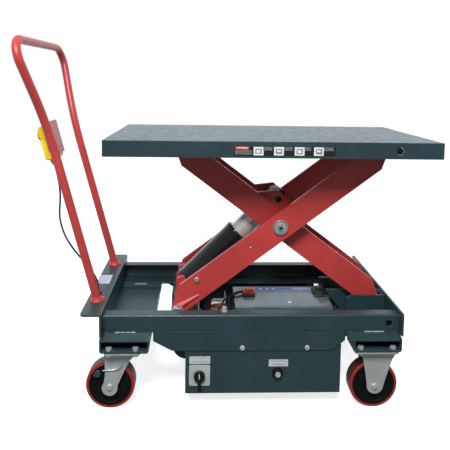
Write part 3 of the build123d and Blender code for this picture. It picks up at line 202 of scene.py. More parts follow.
BLUE_GREY = (0.022, 0.048, 0.056)
RED = (0.50, 0.048, 0.044)
MATERIALS = {
    "blue_grey": paint("blue_grey", BLUE_GREY, (0.13, 0.19, 0.22)),
    "red": paint("red", RED, (0.52, 0.11, 0.10)),
    # Pinker red of the bar-end bosses: a painted highlight.
    "boss_highlight_red": paint("boss_highlight_red", (0.62, 0.14, 0.13), (0.70, 0.30, 0.28), 0.30),
    "zinc": metal("zinc", (0.46, 0.49, 0.47), 0.42, metallic=0.30),
    "steel": metal("steel", (0.42, 0.42, 0.42), 0.36, metallic=0.6),
    "chrome": metal("chrome", (0.92, 0.92, 0.91), 0.18, stain=0.05, grain=500.0, metallic=0.45),
    "black_gloss": paint("black_gloss", (0.010, 0.010, 0.011), (0.03, 0.03, 0.03), 0.14, 0.2),
    "tread": plastic("tread", (0.36, 0.022, 0.018), 0.38, 500.0, 0.2),
    # Darker red-brown for the wheels' running faces: painted shade.
    "tread_face_shade": plastic("tread_face_shade", (0.075, 0.020, 0.016), 0.50, 400.0, 0.3, lift=0.02),
    "black_plastic": plastic("black_plastic", (0.008, 0.008, 0.009), 0.34, specular=0.35),
    "grey_plastic": plastic("grey_plastic", (0.44, 0.48, 0.47), 0.42),
    "battery_grey": plastic("battery_grey", (0.10, 0.13, 0.15), 0.16, 400.0, 0.06),
    "yellow": plastic("yellow", (0.90, 0.60, 0.02), 0.36, specular=0.3, lift=0.02),
    "red_plastic": plastic("red_plastic", (0.55, 0.025, 0.02), 0.34),
    "green_plastic": plastic("green_plastic", (0.03, 0.26, 0.07), 0.34),
    "rubber": plastic("rubber", (0.014, 0.014, 0.014), 0.55, 600.0, 0.4),
    "aluminium": metal("aluminium", (0.45, 0.46, 0.47), 0.40, stain=0.1, metallic=0.6),
    "bronze": metal("bronze", (0.50, 0.33, 0.16), 0.32),
    "hub": plastic("hub", (0.0045, 0.006, 0.006), 0.55, 300.0, 0.3, lift=0.012, specular=0.12),
    "eye_black": plastic("eye_black", (0.006, 0.006, 0.006), 0.40, 300.0, 0.2, lift=0.01, specular=0.3),
    "weld_bare": metal("weld_bare", (0.36, 0.42, 0.46), 0.50, stain=0.45, grain=160.0),
    "bright_wire": metal("bright_wire", (0.80, 0.82, 0.84), 0.30),
    # Blue-grey plate beside the swivel hubs: a painted reflection.
    "hub_reflection_plate": metal("hub_reflection_plate", (0.16, 0.20, 0.25), 0.40),
    "cream": plastic("cream", (0.52, 0.49, 0.40), 0.42),
    "label_black": plastic("label_black", (0.012, 0.012, 0.012), 0.38),
    "label_red": plastic("label_red", (0.62, 0.05, 0.03), 0.38),
    "label_white": plastic("label_white", (0.80, 0.80, 0.80), 0.42),
    "label_grey": plastic("label_grey", (0.25, 0.25, 0.26), 0.42),
    "label_silver": plastic("label_silver", (0.58, 0.60, 0.62), 0.35),
    "label_lavender": plastic("label_lavender", (0.52, 0.55, 0.66), 0.42),
    "label_blue": plastic("label_blue", (0.03, 0.11, 0.42), 0.35),
    "boot_red": plastic("boot_red", (0.70, 0.05, 0.02), 0.36),
    "wire_red": plastic("wire_red", (0.60, 0.04, 0.02), 0.4),
    "wire_orange": plastic("wire_orange", (0.62, 0.16, 0.03), 0.4),
    "panel_grey": plastic("panel_grey", (0.055, 0.06, 0.065), 0.45),
    # Near-black paint for sheets that stand in for shade.
    "painted_shade_dark": paint("painted_shade_dark", (0.012, 0.020, 0.026), (0.04, 0.06, 0.07)),
}
SLOT_LOOKS = {
    "blue_grey_paint": "blue_grey", "red_paint": "red", "zinc": "zinc", "steel": "steel",
    "chrome": "chrome", "black_paint": "black_gloss", "wheel_red": "tread",
    "black_plastic": "black_plastic", "grey_plastic": "grey_plastic",
    "battery_grey": "battery_grey", "yellow_plastic": "yellow", "red_plastic": "red_plastic",
    "green_plastic": "green_plastic", "rubber": "rubber", "aluminium": "aluminium",
    "bronze": "bronze",
}


def paint_nodes():
    """Gives every CAD node the finish of its record slot."""
    for entry in frame["record"]["subparts"]:
        piece = nodes[entry["node"]]
        piece.data.materials.clear()
        piece.data.materials.append(MATERIALS[SLOT_LOOKS[entry["material_slot"]]])


paint_nodes()


# ---- mesh helpers ---------------------------------------------------------
def corner(node, high=(0, 0, 0)):
    """One corner of a node's box in millimetres: 0 is the low side, 1 the high side."""
    low_corner, high_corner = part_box(node)
    return [(high_corner if pick else low_corner)[i] / MM for i, pick in enumerate(high)]


def finish_mesh(name, bm, materials, body, smooth=35.0):
    """Turns a bmesh in millimetres into a piece that rides on a body."""
    bmesh.ops.recalc_face_normals(bm, faces=bm.faces)
    bmesh.ops.scale(bm, vec=(MM, MM, MM), verts=bm.verts)
    mesh = bpy.data.meshes.new(name)
    bm.to_mesh(mesh)
    bm.free()
    for material in materials:
        mesh.materials.append(MATERIALS[material])
    mesh.polygons.foreach_set("use_smooth", [True] * len(mesh.polygons))
    mesh.set_sharp_from_angle(angle=math.radians(smooth))
    piece = bpy.data.objects.new(name, mesh)
    bpy.context.scene.collection.objects.link(piece)
    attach(piece, body)
    return piece


def add_box(bm, low, high, index=0, bevel=0.0):
    """Box between two corners, with rounded edges."""
    made = bmesh.ops.create_cube(bm, size=1.0)["verts"]
    for v in made:
        v.co = Vector(low[i] + (v.co[i] + 0.5) * (high[i] - low[i]) for i in range(3))
    faces = {f for v in made for f in v.link_faces}
    for f in faces:
        f.material_index = index
    if bevel > 0:
        edges = list({e for v in made for e in v.link_edges})
        bmesh.ops.bevel(bm, geom=edges, offset=bevel, segments=3, profile=0.5, affect="EDGES",
                        clamp_overlap=True, material=-1)


def add_turned(bm, profile, centre, axis, index=0, segments=64, closed=False):
    """Surface of revolution. The profile's points are distance along the axis, then radius."""
    axis = Vector(axis).normalized()
    helper = Vector((0, 0, 1)) if abs(axis.z) < 0.9 else Vector((1, 0, 0))
    side = axis.cross(helper).normalized()
    other = axis.cross(side)
    rings = []
    for along, radius in profile:
        place = Vector(centre) + axis * along
        if radius < 1e-6:
            rings.append([bm.verts.new(place)])
            continue
        ring = []
        for i in range(segments):
            turn = 2 * math.pi * i / segments
            ring.append(bm.verts.new(place + radius * (math.cos(turn) * side + math.sin(turn) * other)))
        rings.append(ring)
    pairs = list(zip(rings, rings[1:]))
    if closed:
        pairs.append((rings[-1], rings[0]))
    for first, second in pairs:
        for i in range(segments):
            j = (i + 1) % segments
            corners = [first[i % len(first)], first[j % len(first)], second[j % len(second)],
                       second[i % len(second)]]
            unique = list(dict.fromkeys(corners))
            if len(unique) > 2:
                bm.faces.new(unique).material_index = index


def add_prism(bm, points, start, end, bevel=0.0):
    """Outline of X and Z points made solid between two places on Y, with rounded rims."""
    low = [bm.verts.new((x, start, z)) for x, z in points]
    high = [bm.verts.new((x, end, z)) for x, z in points]
    faces = [bm.faces.new(low), bm.faces.new(list(reversed(high)))]
    rims = list(faces[0].edges) + list(faces[1].edges)
    for i in range(len(points)):
        j = (i + 1) % len(points)
        faces.append(bm.faces.new((low[i], high[i], high[j], low[j])))
    if bevel > 0:
        bmesh.ops.bevel(bm, geom=rims, offset=bevel, segments=3, profile=0.5, affect="EDGES",
                        clamp_overlap=True, material=-1)


def smooth_path(points, steps=10):
    """Even Catmull-Rom line through a few points."""
    spots = [Vector(p) for p in points]
    padded = [2 * spots[0] - spots[1]] + spots + [2 * spots[-1] - spots[-2]]
    line = []
    for a, b, c, d in zip(padded, padded[1:], padded[2:], padded[3:]):
        for k in range(steps):
            t = k / steps
            line.append(0.5 * (2 * b + (c - a) * t + (2 * a - 5 * b + 4 * c - d) * t * t
                               + (3 * b - a - 3 * c + d) * t ** 3))
    line.append(spots[-1])
    return line


def circle(centre, radius, axes, count):
    """Closed line of points round a centre; axes are the two directions it is drawn in."""
    first, second = axes
    line = []
    for i in range(count + 1):
        turn = 2 * math.pi * i / count
        line.append(Vector(centre) + radius * (math.cos(turn) * first + math.sin(turn) * second))
    return line


def add_tube(bm, line, radius, index=0, segments=12, ripple=0.0, pitch=4.0, squash=1.0):
    """Closed tube along a line; ripple swells it every pitch, as on a weld."""
    rings = []
    travelled = 0.0
    side = None
    for i, spot in enumerate(line):
        before = line[max(0, i - 1)]
        after = line[min(len(line) - 1, i + 1)]
        ahead = (after - before).normalized()
        if side is None:
            helper = Vector((0, 0, 1)) if abs(ahead.z) < 0.9 else Vector((0, 1, 0))
            side = ahead.cross(helper).normalized()
        side = (side - ahead * side.dot(ahead)).normalized()
        other = ahead.cross(side)
        travelled += (spot - before).length
        size = radius * (1 + ripple * abs(math.sin(math.pi * travelled / pitch)))
        if i in (0, len(line) - 1):
            size *= 0.55
        rings.append([bm.verts.new(spot + size * (math.cos(a) * side + squash * math.sin(a) * other))
                      for a in (2 * math.pi * k / segments for k in range(segments))])
    for first, second in zip(rings, rings[1:]):
        for k in range(segments):
            m = (k + 1) % segments
            bm.faces.new((first[k], first[m], second[m], second[k])).material_index = index
    bm.faces.new(list(reversed(rings[0]))).material_index = index
    bm.faces.new(rings[-1]).material_index = index


def even_line(start, end):
    """Straight line as points about a millimetre apart."""
    first, last = Vector(start), Vector(end)
    count = max(3, int((last - first).length))
    return [first.lerp(last, i / count) for i in range(count + 1)]


# ---- places, in millimetres, from the frame -------------------------------
X_AXIS, Y_AXIS, Z_AXIS = Vector((1, 0, 0)), Vector((0, 1, 0)), Vector((0, 0, 1))
BOX_START = 256.0                # electrics box, from the handle-end plate
CHASSIS_X = corner("electrics_box")[0] - BOX_START
RAIL_Y = 228.0                   # outer face of a side rail
RAIL_WALL = 4.0
RAIL_BOTTOM = corner("side_rail_near")[2]
RAIL_TOP = corner("side_rail_near", (1, 1, 1))[2]
CHANNEL_TOP = corner("swivel_mounts", (1, 1, 1))[2]
END_TOP = corner("handle_end_plate", (1, 1, 1))[2]
SKIRT_Y = corner("table_top")[1]
BOX_Y = corner("electrics_box")[1]
SIDES = {"near": -1.0, "far": 1.0}
HANDLE_Y = 156.0                 # feet of the handle
HANDLE_X = -26.0


def joint_place(name):
    """Where a joint turns, in millimetres."""
    for joint in frame["joints"]:
        if joint["name"] == name:
            return Vector(joint["pos_m"]) / MM
    raise KeyError(name)


def slide_axis(name):
    """Unit direction of a sliding joint."""
    joint = next(j for j in frame["joints"] if j["name"] == name)
    return Vector(joint["axis"]).normalized()


PIVOT = joint_place("lift")
CENTRE = joint_place("scissor_centre")
ROLLER = joint_place("lower_roller_near")


# ---- labels ---------------------------------------------------------------
def flat_mark(bm, face, left, right, low, high, lift, index):
    """Thin plate on a face: on an upright -Y face, or on an upward one."""
    kind, level = face
    if kind == "front":
        add_box(bm, (left, level - lift - 0.15, low), (right, level, high), index)
    else:
        add_box(bm, (left, low, level), (right, high, level + lift + 0.15), index)


def text_bars(bm, face, left, right, low, high, rows, lift, index):
    """Rows of short bars that stand for small print."""
    pitch = (high - low) / rows
    for row in range(rows):
        top = high - row * pitch
        spot = left
        word = 0
        while spot < right - 1.5:
            length = 3.0 + ((row * 7 + word * 5) % 6)
            flat_mark(bm, face, spot, min(right, spot + length), top - pitch * 0.6, top, lift, index)
            spot += length + 1.1
            word += 1


STRIP_START, STRIP_LENGTH, STRIP_HEIGHT = 394.0, 299.0, 28.0
STRIP_BASE = 796.0               # above the floor
PICTOGRAMS = ((57.0, 24.0), (117.0, 24.0), (178.0, 17.0), (235.0, 27.0))    # start, width of its print


def skirt_strip():
    """Black strip of plain pictogram squares on the table's skirt."""
    bm = bmesh.new()
    face = ("front", SKIRT_Y)
    start = CHASSIS_X + STRIP_START
    base = STRIP_BASE
    flat_mark(bm, face, start, start + STRIP_LENGTH, base, base + STRIP_HEIGHT, 0.05, 0)
    flat_mark(bm, face, start + 3, start + 44, base + 17.5, base + 26.5, 0.2, 1)
    text_bars(bm, face, start + 8, start + 40, base + 20.0, base + 24.5, 1, 0.35, 2)
    text_bars(bm, face, start + 3, start + 52, base + 2.5, base + 15.5, 4, 0.2, 3)
    for number, (offset, width) in enumerate(PICTOGRAMS):
        left = start + offset
        flat_mark(bm, face, left, left + 29.0, base + 1.5, base + 26.5, 0.2, 2)
        flat_mark(bm, face, left + 5, left + 24, base + 6, base + 21.5, 0.35, 3)
        flat_mark(bm, face, left + 8, left + 20, base + 9 + number % 2 * 3, base + 17.5, 0.5, 2)
        text_bars(bm, face, left + 31, left + 31 + width, base + 15, base + 26, 4, 0.2, 3)
    finish_mesh("skirt_strip", bm, ("label_black", "label_red", "label_white", "label_grey"), "table")


BOX_LABELS = ((269.0, 333.0, 141.5, 165.0), (515.0, 575.0, 131.5, 154.0))   # left, right, low, high


def box_labels():
    """Plain pale labels on the electrics box and on the handle flange."""
    bm = bmesh.new()
    face = ("front", BOX_Y)
    for first, last, low, high in BOX_LABELS:
        left, right = CHASSIS_X + first, CHASSIS_X + last
        flat_mark(bm, face, left, right, low, high, 0.1, 0)
        text_bars(bm, face, left + 4, right - 4, high - 7.0, high - 4.0, 1, 0.25, 1)
        text_bars(bm, face, left + 8, right - 10, low + 4.0, low + 8.0, 1, 0.25, 1)
    finish_mesh("box_labels", bm, ("label_silver", "label_grey"), "chassis")
    bm = bmesh.new()
    flat_mark(bm, ("top", END_TOP), CHASSIS_X - 57, CHASSIS_X - 13, -28, 48, 0.1, 0)
    finish_mesh("flange_label", bm, ("label_lavender",), "chassis")


# ---- welds ----------------------------------------------------------------
def weld(bm, start, end, radius=2.6):
    """Rippled weld bead between two points."""
    add_tube(bm, even_line(start, end), radius, ripple=0.35, pitch=3.2, segments=10, squash=0.85)


def ring_weld(bm, centre, radius, bead=3.0):
    """Rippled bead round an upright tube."""
    add_tube(bm, circle(centre, radius, (X_AXIS, Y_AXIS), 120), bead, ripple=0.3, pitch=4.0, segments=10)


CHANNEL_SPANS = ((42, 106), (808, 871))          # caster channels, from the handle-end plate
CHANNEL_TACKS = (16.0, 150.0, 766.0, 905.0)
END_PLATES = (6.5, 913.5)
EAR_FACES = (94.5, 103.5, 49.5, 56.5)            # pivot brackets, from the middle
SLOT_SPANS = ((208, 359), (413, 547), (598, 718))


def chassis_welds():
    """Beads where the caster channels, end plates, pivot brackets and handle are joined."""
    bare = bmesh.new()
    painted = bmesh.new()
    for side in SIDES.values():
        outside = side * (RAIL_Y + 1)
        for first, last in CHANNEL_SPANS:
            weld(bare, (CHASSIS_X + first, outside, CHANNEL_TOP), (CHASSIS_X + last, outside, CHANNEL_TOP), 3.4)
            weld(bare, (CHASSIS_X + first + 8, side * 138.0, CHANNEL_TOP),
                 (CHASSIS_X + last - 8, side * 138.0, CHANNEL_TOP), 2.6)
        for spot in CHANNEL_TACKS:
            weld(painted, (CHASSIS_X + spot - 5, outside, CHANNEL_TOP),
                 (CHASSIS_X + spot + 5, outside, CHANNEL_TOP), 2.4)
        for spot in END_PLATES:
            weld(painted, (CHASSIS_X + spot, outside, CHANNEL_TOP + 8),
                 (CHASSIS_X + spot, outside, RAIL_TOP - 6), 2.2)
            weld(painted, (CHASSIS_X + spot, side * 222.0, RAIL_TOP - 8),
                 (CHASSIS_X + spot, side * 222.0, RAIL_BOTTOM + 60.0), 2.6)
        for ear in EAR_FACES:
            weld(painted, (CHASSIS_X + 806, side * ear, 230.5), (CHASSIS_X + 905, side * ear, 230.5), 2.4)
    finish_mesh("channel_welds", bare, ("weld_bare",), "chassis", 60)
    finish_mesh("frame_welds", painted, ("blue_grey",), "chassis", 60)
    bm = bmesh.new()
    for side in SIDES.values():
        ring_weld(bm, (CHASSIS_X + HANDLE_X, side * HANDLE_Y, END_TOP + 1.0), 20.5)
        ring_weld(bm, (CHASSIS_X + HANDLE_X - 2.5, side * HANDLE_Y, END_TOP + 9.5), 13.6, 2.4)
    finish_mesh("handle_welds", bm, ("red",), "chassis", 60)


def slot_shade_strips():
    """Dark strips behind the slots of the side rails: painted shade of the rails' insides."""
    bm = bmesh.new()
    low = RAIL_BOTTOM + 63.0
    for side in SIDES.values():
        inner = side * (RAIL_Y - RAIL_WALL)
        low_y, high_y = sorted((inner, inner - side * 0.8))
        for first, last in SLOT_SPANS:
            add_box(bm, (CHASSIS_X + first, low_y, low), (CHASSIS_X + last, high_y, low + 4.3), 0, 0.2)
    finish_mesh("slot_shade_strips", bm, ("painted_shade_dark",), "chassis")


# ---- scissor details ------------------------------------------------------
ARM_TILT = math.radians(36.9)    # of an outer bar at rest; an inner bar leans the other way
BOSS_START = (-17.0, -3.0)       # from the lower roller's axis, along the bar's end
BOSS_END = (68.0, 47.0)
BOSS_RADIUS = 11.0
BOSS_STEPS, BOSS_SIDES = 30, 10
OUTER_BARS = (112.0, 124.0)      # inner and outer faces of the outer bars, from the middle
INNER_BARS = 65.5                # bead line on the inner bars
RAM_LUG = 63.4                   # face of a ram lug
PLUG_INSET = 3.4                 # skirt's outer edge to its pivot hole


def on_bar(tilt, along, across):
    """X and Z in the stored pose from a bar's own axes."""
    return (CENTRE.x + along * math.cos(tilt) - across * math.sin(tilt),
            CENTRE.z + along * math.sin(tilt) + across * math.cos(tilt))


def bar_ring(bm, x, z, y, radius, bead, count):
    """Rippled bead round a tube that crosses between the bars."""
    add_tube(bm, circle((x, y, z), radius, (X_AXIS, Z_AXIS), count), bead, ripple=0.3, pitch=3.5, segments=8)


def add_boss(bm, side):
    """Half-round boss that tapers along the lower end of an outer bar; its pinker red is a painted highlight."""
    start, end = Vector(BOSS_START), Vector(BOSS_END)
    out = Vector((0, side, 0))
    ahead = Vector((end.x - start.x, 0, end.y - start.y)).normalized()
    up = out.cross(ahead).normalized()
    rings = []
    for i in range(BOSS_STEPS + 1):
        t = i / BOSS_STEPS
        along = start.lerp(end, t)
        size = BOSS_RADIUS * (1 - 0.72 * t) * math.sin(math.pi * min(1.0, t * 6 + 0.2) / 2)
        spot = Vector((ROLLER.x + along.x, side * OUTER_BARS[1], ROLLER.z + along.y))
        rings.append([bm.verts.new(spot + size * (math.cos(a) * up + math.sin(a) * out))
                      for a in (math.pi * k / BOSS_SIDES for k in range(BOSS_SIDES + 1))])
    for first, second in zip(rings, rings[1:]):
        for k in range(BOSS_SIDES):
            bm.faces.new((first[k], first[k + 1], second[k + 1], second[k]))
        bm.faces.new((first[BOSS_SIDES], first[0], second[0], second[BOSS_SIDES]))
    bm.faces.new(rings[0])
    bm.faces.new(list(reversed(rings[-1])))


def outer_arm_details():
    """Bosses in pinker red, a painted highlight, and the beads round the lower cross tube and its ears."""
    bm = bmesh.new()
    for side in SIDES.values():
        add_boss(bm, side)
    finish_mesh("arm_end_bosses", bm, ("boss_highlight_red",), "outer_scissor", 50)
    bm = bmesh.new()
    x, z = on_bar(ARM_TILT, -426.0, -19.6)
    for side in SIDES.values():
        bar_ring(bm, x, z, side * (OUTER_BARS[0] - 0.5), 17.5, 2.4, 60)
        for ear in (50.0, 60.0):
            for shift in (-1, 1):
                y = side * ear + shift
                line = even_line((x + 14.0, y, z + 13.0), (x + 4.0, y, z + 19.0))
                add_tube(bm, line, 2.2, ripple=0.3, pitch=3.0, segments=8)
    finish_mesh("cross_tube_welds", bm, ("red",), "outer_scissor", 60)


def inner_arm_details():
    """Beads along the ram lugs and round the cross tubes, and the black ends of the ram pin."""
    bm = bmesh.new()
    lug_start, lug_end = on_bar(-ARM_TILT, -112.0, 40.5), on_bar(-ARM_TILT, 18.0, 40.5)
    for side in SIDES.values():
        y = side * (INNER_BARS + 1.0)
        weld(bm, (lug_start[0], y, lug_start[1]), (lug_end[0], y, lug_end[1]))
        for along, radius in ((78.0, 25.5), (-330.0, 17.5)):
            x, z = on_bar(-ARM_TILT, along, 0.0)
            bar_ring(bm, x, z, side * INNER_BARS, radius, 2.3, 72)
    finish_mesh("inner_arm_welds", bm, ("red",), "inner_scissor", 60)
    bm = bmesh.new()
    x, z = on_bar(-ARM_TILT, -47.5, 62.0)
    for side in SIDES.values():
        add_turned(bm, [(-0.4, 10.8), (0.4, 10.6), (0.7, 10.0), (0.7, 0.0)],
                   (x, side * RAM_LUG, z), (0, side, 0), 0, 48)
    finish_mesh("ram_pin_ends", bm, ("eye_black",), "inner_scissor")


def pivot_details():
    """Washers of the centre pins, flat black hexagons on their ends that paint the shade of their sockets, and the
    plugs in the table's skirt.
    """
    bm = bmesh.new()
    pin_end = corner("centre_pins", (1, 1, 1))[1]
    for side in SIDES.values():
        add_turned(bm, [(-0.2, 17.0), (0.9, 17.0), (1.2, 16.6), (1.2, 10.5), (-0.2, 10.5)],
                   (CENTRE.x, side * 130.0, CENTRE.z), (0, side, 0), 0, 64, True)
        # Flat black hexagon on the pin's end: painted shade of its socket.
        add_turned(bm, [(-0.2, 5.4), (0.3, 5.2), (0.4, 4.8), (0.4, 0.0)],
                   (CENTRE.x, side * pin_end, CENTRE.z), (0, side, 0), 1, 6)
    finish_mesh("centre_washers", bm, ("zinc", "eye_black"), "outer_scissor")
    bm = bmesh.new()
    upper = joint_place("table_pivot").z
    for side in SIDES.values():
        add_turned(bm, [(0.0, 11.0), (1.0, 11.0), (1.4, 10.4), (1.4, 0.0)],
                   (PIVOT.x, side * (abs(SKIRT_Y) - PLUG_INSET), upper), (0, side, 0), 0, 40)
    finish_mesh("skirt_plugs", bm, ("eye_black",), "table")


RAM_LENGTH = 437.9               # between the ram's two pins
EYE_RADIUS, EYE_HALF = 33.5, 31.5


def ram_details():
    """Wiper ring and base ring of the ram, and its black upper eye."""
    pin = joint_place("ram_swing")
    axis = slide_axis("ram_stroke")
    bm = bmesh.new()
    add_turned(bm, [(257.6, 36.0), (259.0, 36.0), (259.0, 40.5), (257.6, 41.5)], pin, axis, 0, 72, True)
    add_turned(bm, [(11.5, 44.3), (15.0, 46.2), (19.0, 46.2), (22.0, 44.3)], pin, axis, 0, 72, True)
    finish_mesh("ram_rings", bm, ("black_gloss",), "ram_barrel")
    rod = nodes["ram_rod"]
    rod.data.materials.append(MATERIALS["eye_black"])
    eye = pin + axis * RAM_LENGTH
    for polygon in rod.data.polygons:
        away = Vector(polygon.center) / MM - eye
        away.y = 0.0
        in_eye = away.length < EYE_RADIUS and abs(away.dot(axis)) < EYE_HALF
        polygon.material_index = 1 if in_eye else 0


# ---- wheels and casters ---------------------------------------------------
TREAD_START = 66.2               # radii on a wheel
TREAD_FACE = 70.0
BRAKE_Y = 235.5


def wheel_looks():
    """Black hub, red tread and its running face painted darker as shade on each wheel, with a moulded ring."""
    for kind in ("swivel", "fixed"):
        for name in SIDES:
            wheel = f"{kind}_wheel_{name}"
            node = nodes[wheel]
            middle = joint_place(f"{kind}_wheel_spin_{name}")
            node.data.materials.clear()
            for look in ("hub", "tread", "tread_face_shade"):
                node.data.materials.append(MATERIALS[look])
            for polygon in node.data.polygons:
                place = Vector(polygon.center) / MM - middle
                away = math.hypot(place.x, place.z)
                index = 1 if away > TREAD_START else 0
                # Running face painted darker: painted shade.
                if away > TREAD_FACE and abs(polygon.normal.y) < 0.5:
                    index = 2
                polygon.material_index = index
            bm = bmesh.new()
            for face in (-1.0, 1.0):
                boss = [(face * 18.0, 30.0), (face * 19.6, 31.0), (face * 19.6, 34.0), (face * 18.0, 35.0)]
                add_turned(bm, boss, middle, (0, 1, 0), 0, 72, True)
            finish_mesh(f"{kind}_hub_rings_{name}", bm, ("hub",), wheel)


def brake_details():
    """Brake wire of each swivel caster, and a blue-grey plate beside its hub that paints the reflection on the
    hub.
    """
    x0 = CHASSIS_X
    for name, side in SIDES.items():
        y = side * BRAKE_Y
        bm = bmesh.new()
        wire = [(x0 + 4, y - side, 127.5), (x0 + 22, y, 129.5), (x0 + 42, y, 131.5), (x0 + 54, y, 134.5),
                (x0 + 61, y, 141.0), (x0 + 64, y, 148.0), (x0 + 62, y - side, 154.0)]
        add_tube(bm, smooth_path(wire, 8), 2.2)
        finish_mesh(f"brake_wire_{name}", bm, ("bright_wire",), f"brake_{name}")
        # Blue-grey plate beside the hub: a painted reflection.
        bm = bmesh.new()
        hub_reflection_plate = [(x0 - 24, 108), (x0 - 12, 104), (x0 - 3, 106), (x0 - 1, 117), (x0 - 5, 125),
                (x0 - 13, 126), (x0 - 21, 119)]
        add_prism(bm, hub_reflection_plate, side * (BRAKE_Y - 6.5), side * (BRAKE_Y - 3.5), bevel=1.2)
        finish_mesh(f"brake_hub_reflection_{name}", bm, ("hub_reflection_plate",), f"brake_{name}")


def box_fittings():
    """Cream core of the charging socket, its bright ring, and a pale strip on the knob that is a painted
    highlight.
    """
    low = corner("charge_socket")
    high = corner("charge_socket", (1, 1, 1))
    x, z = (low[0] + high[0]) / 2, (low[2] + high[2]) / 2
    bm = bmesh.new()
    add_turned(bm, [(0.0, 8.6), (2.4, 8.6), (2.8, 8.0), (2.8, 6.6), (1.0, 6.2), (0.0, 6.2)],
               (x, low[1], z), (0, -1, 0), 0, 48, True)
    add_turned(bm, [(-0.5, 6.4), (1.6, 6.2), (1.8, 5.6), (1.8, 0.0)], (x, low[1], z), (0, -1, 0), 1, 48)
    finish_mesh("socket_core", bm, ("zinc", "cream"), "chassis")
    low = corner("main_switch_knob")
    high = corner("main_switch_knob", (1, 1, 1))
    x = (low[0] + high[0]) / 2
    bm = bmesh.new()
    # Pale strip on the knob: a painted highlight.
    add_box(bm, (x - 1.6, low[1] - 0.5, high[2] - 19.0), (x + 1.6, low[1] + 0.6, high[2] - 4.0), 0, 0.3)
    finish_mesh("knob_highlight", bm, ("label_silver",), "switch_knob")


# ---- battery and wiring ---------------------------------------------------
def battery_details():
    """Label strip, lid ribs and a round mark on the battery."""
    low = corner("battery")
    high = corner("battery", (1, 1, 1))
    top, back = high[2], high[1]
    bm = bmesh.new()
    face = ("top", top)
    left, right = low[0] + 50, high[0] - 18
    flat_mark(bm, face, left, right, back - 34, back - 10, 0.1, 0)
    for i in range(4):
        start = left + 24 + i * 24
        flat_mark(bm, face, start, start + 8, back - 27, back - 17, 0.25, 1)
    for row in range(2):
        text_bars(bm, face, right - 96, right - 18, back - 30 + row * 9, back - 25 + row * 9, 1, 0.25, 1)
    finish_mesh("battery_label", bm, ("label_blue", "label_white"), "chassis")
    bm = bmesh.new()
    for y in (-78.0, 40.0):
        add_box(bm, (low[0] + 12, y - 1.2, top - 0.4), (high[0] - 12, y + 1.2, top + 0.9), 0, 0.5)
    add_turned(bm, [(-0.5, 7.0), (0.8, 7.0), (1.0, 6.5), (1.0, 0.0)],
               (low[0] + 190, -48.0, top), (0, 0, 1), 1, 32)
    finish_mesh("battery_caps", bm, ("battery_grey", "label_silver"), "chassis")


def boot(bm, centre, length, width, height, index):
    """Soft cover with rounded shoulders over a terminal."""
    x, y, z = centre
    add_box(bm, (x - length / 2, y - width / 2, z), (x + length / 2, y + width / 2, z + height), index, 5.0)
    add_box(bm, (x - length * 0.28, y - width * 0.40, z + height * 0.4),
            (x + length * 0.34, y + width * 0.36, z + height + 7.0), index, 4.5)


# Dark sheet that paints the shade inside the far rail.
SHADE_SHEET_SPAN = (300.0, 752.0)      # from the handle-end plate
SHADE_SHEET_LOW, SHADE_SHEET_SHOULDER, SHADE_SHEET_TOP = 100.0, 204.5, 216.0


def far_shade_sheet():
    """Upright dark sheet below the far rail, behind the power pack: painted shade of the far side's inside."""
    bm = bmesh.new()
    inner = RAIL_Y - RAIL_WALL - 0.4
    left, right = (CHASSIS_X + x for x in SHADE_SHEET_SPAN)
    add_box(bm, (left, inner - 2.0, SHADE_SHEET_LOW), (right, inner, SHADE_SHEET_SHOULDER), 0, 0.6)
    add_box(bm, (right - 36.0, inner - 2.0, SHADE_SHEET_SHOULDER), (right, inner, SHADE_SHEET_TOP), 0, 0.6)
    finish_mesh("far_shade_sheet", bm, ("painted_shade_dark",), "chassis")


def battery_boots():
    """Red and black terminal covers."""
    low = corner("battery_boots")
    bm = bmesh.new()
    boot(bm, (CHASSIS_X + 472, 24.0, low[2]), 46, 40, 13, 0)
    add_box(bm, (CHASSIS_X + 450, -8, low[2]), (CHASSIS_X + 492, 8, low[2] + 9), 1, 2.5)
    boot(bm, (CHASSIS_X + 724, 36.0, low[2]), 44, 40, 13, 1)
    boot(bm, (CHASSIS_X + 722, 2.0, low[2]), 36, 24, 7, 1)
    piece = finish_mesh("terminal_covers", bm, ("boot_red", "rubber"), "chassis", 40)
    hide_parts("battery_boots")


def wiring():
    """Battery leads and control wires inside the chassis."""
    leads = (
        ("lead_positive", 4.0, "rubber", [(452, 22, 264), (436, 16, 266), (418, 4, 262), (404, -10, 250),
                                          (396, -24, 236), (392, -40, 214), (392, -60, 196)]),
        ("lead_negative", 4.5, "rubber", [(742, 40, 264), (756, 42, 260), (766, 38, 250), (770, 24, 236),
                                          (768, 0, 224), (764, -30, 214)]),
        ("lead_second", 3.2, "rubber", [(740, 20, 262), (752, 8, 262), (764, -8, 256), (770, -26, 244),
                                        (766, -44, 228)]),
        ("wire_red", 2.4, "wire_red", [(340, -60, 214), (332, -40, 226), (344, -26, 236), (362, -28, 238),
                                       (372, -44, 230), (366, -60, 220), (350, -66, 216)]),
        ("wire_orange", 2.2, "wire_orange", [(352, -70, 212), (350, -52, 230), (360, -38, 240), (376, -36, 238),
                                             (384, -50, 226), (382, -66, 212)]),
        ("wire_black", 3.0, "rubber", [(388, 50, 205), (400, 40, 232), (398, 20, 246), (382, 0, 240),
                                       (366, -16, 222), (362, -40, 204)]),
    )
    for name, radius, look, route in leads:
        bm = bmesh.new()
        add_tube(bm, smooth_path([(CHASSIS_X + x, y, z) for x, y, z in route], 9), radius, 0, 14)
        finish_mesh(name, bm, (look,), "chassis", 60)


# ---- hand control ---------------------------------------------------------
SHELL_HEIGHT, SHELL_DEPTH = 55.0, 20.0           # half sizes of the hand control
BUTTONS = (26.0, -4.0, -34.0)                    # heights from its middle
RIBS = (11.0, -19.0)
OUTLINE_STEPS = 44


def shell_face(z):
    """Depth of the user's face of the hand control, scalloped between the buttons."""
    return -SHELL_DEPTH + sum(3.2 * math.exp(-((z - rib) / 5.5) ** 2) for rib in RIBS)


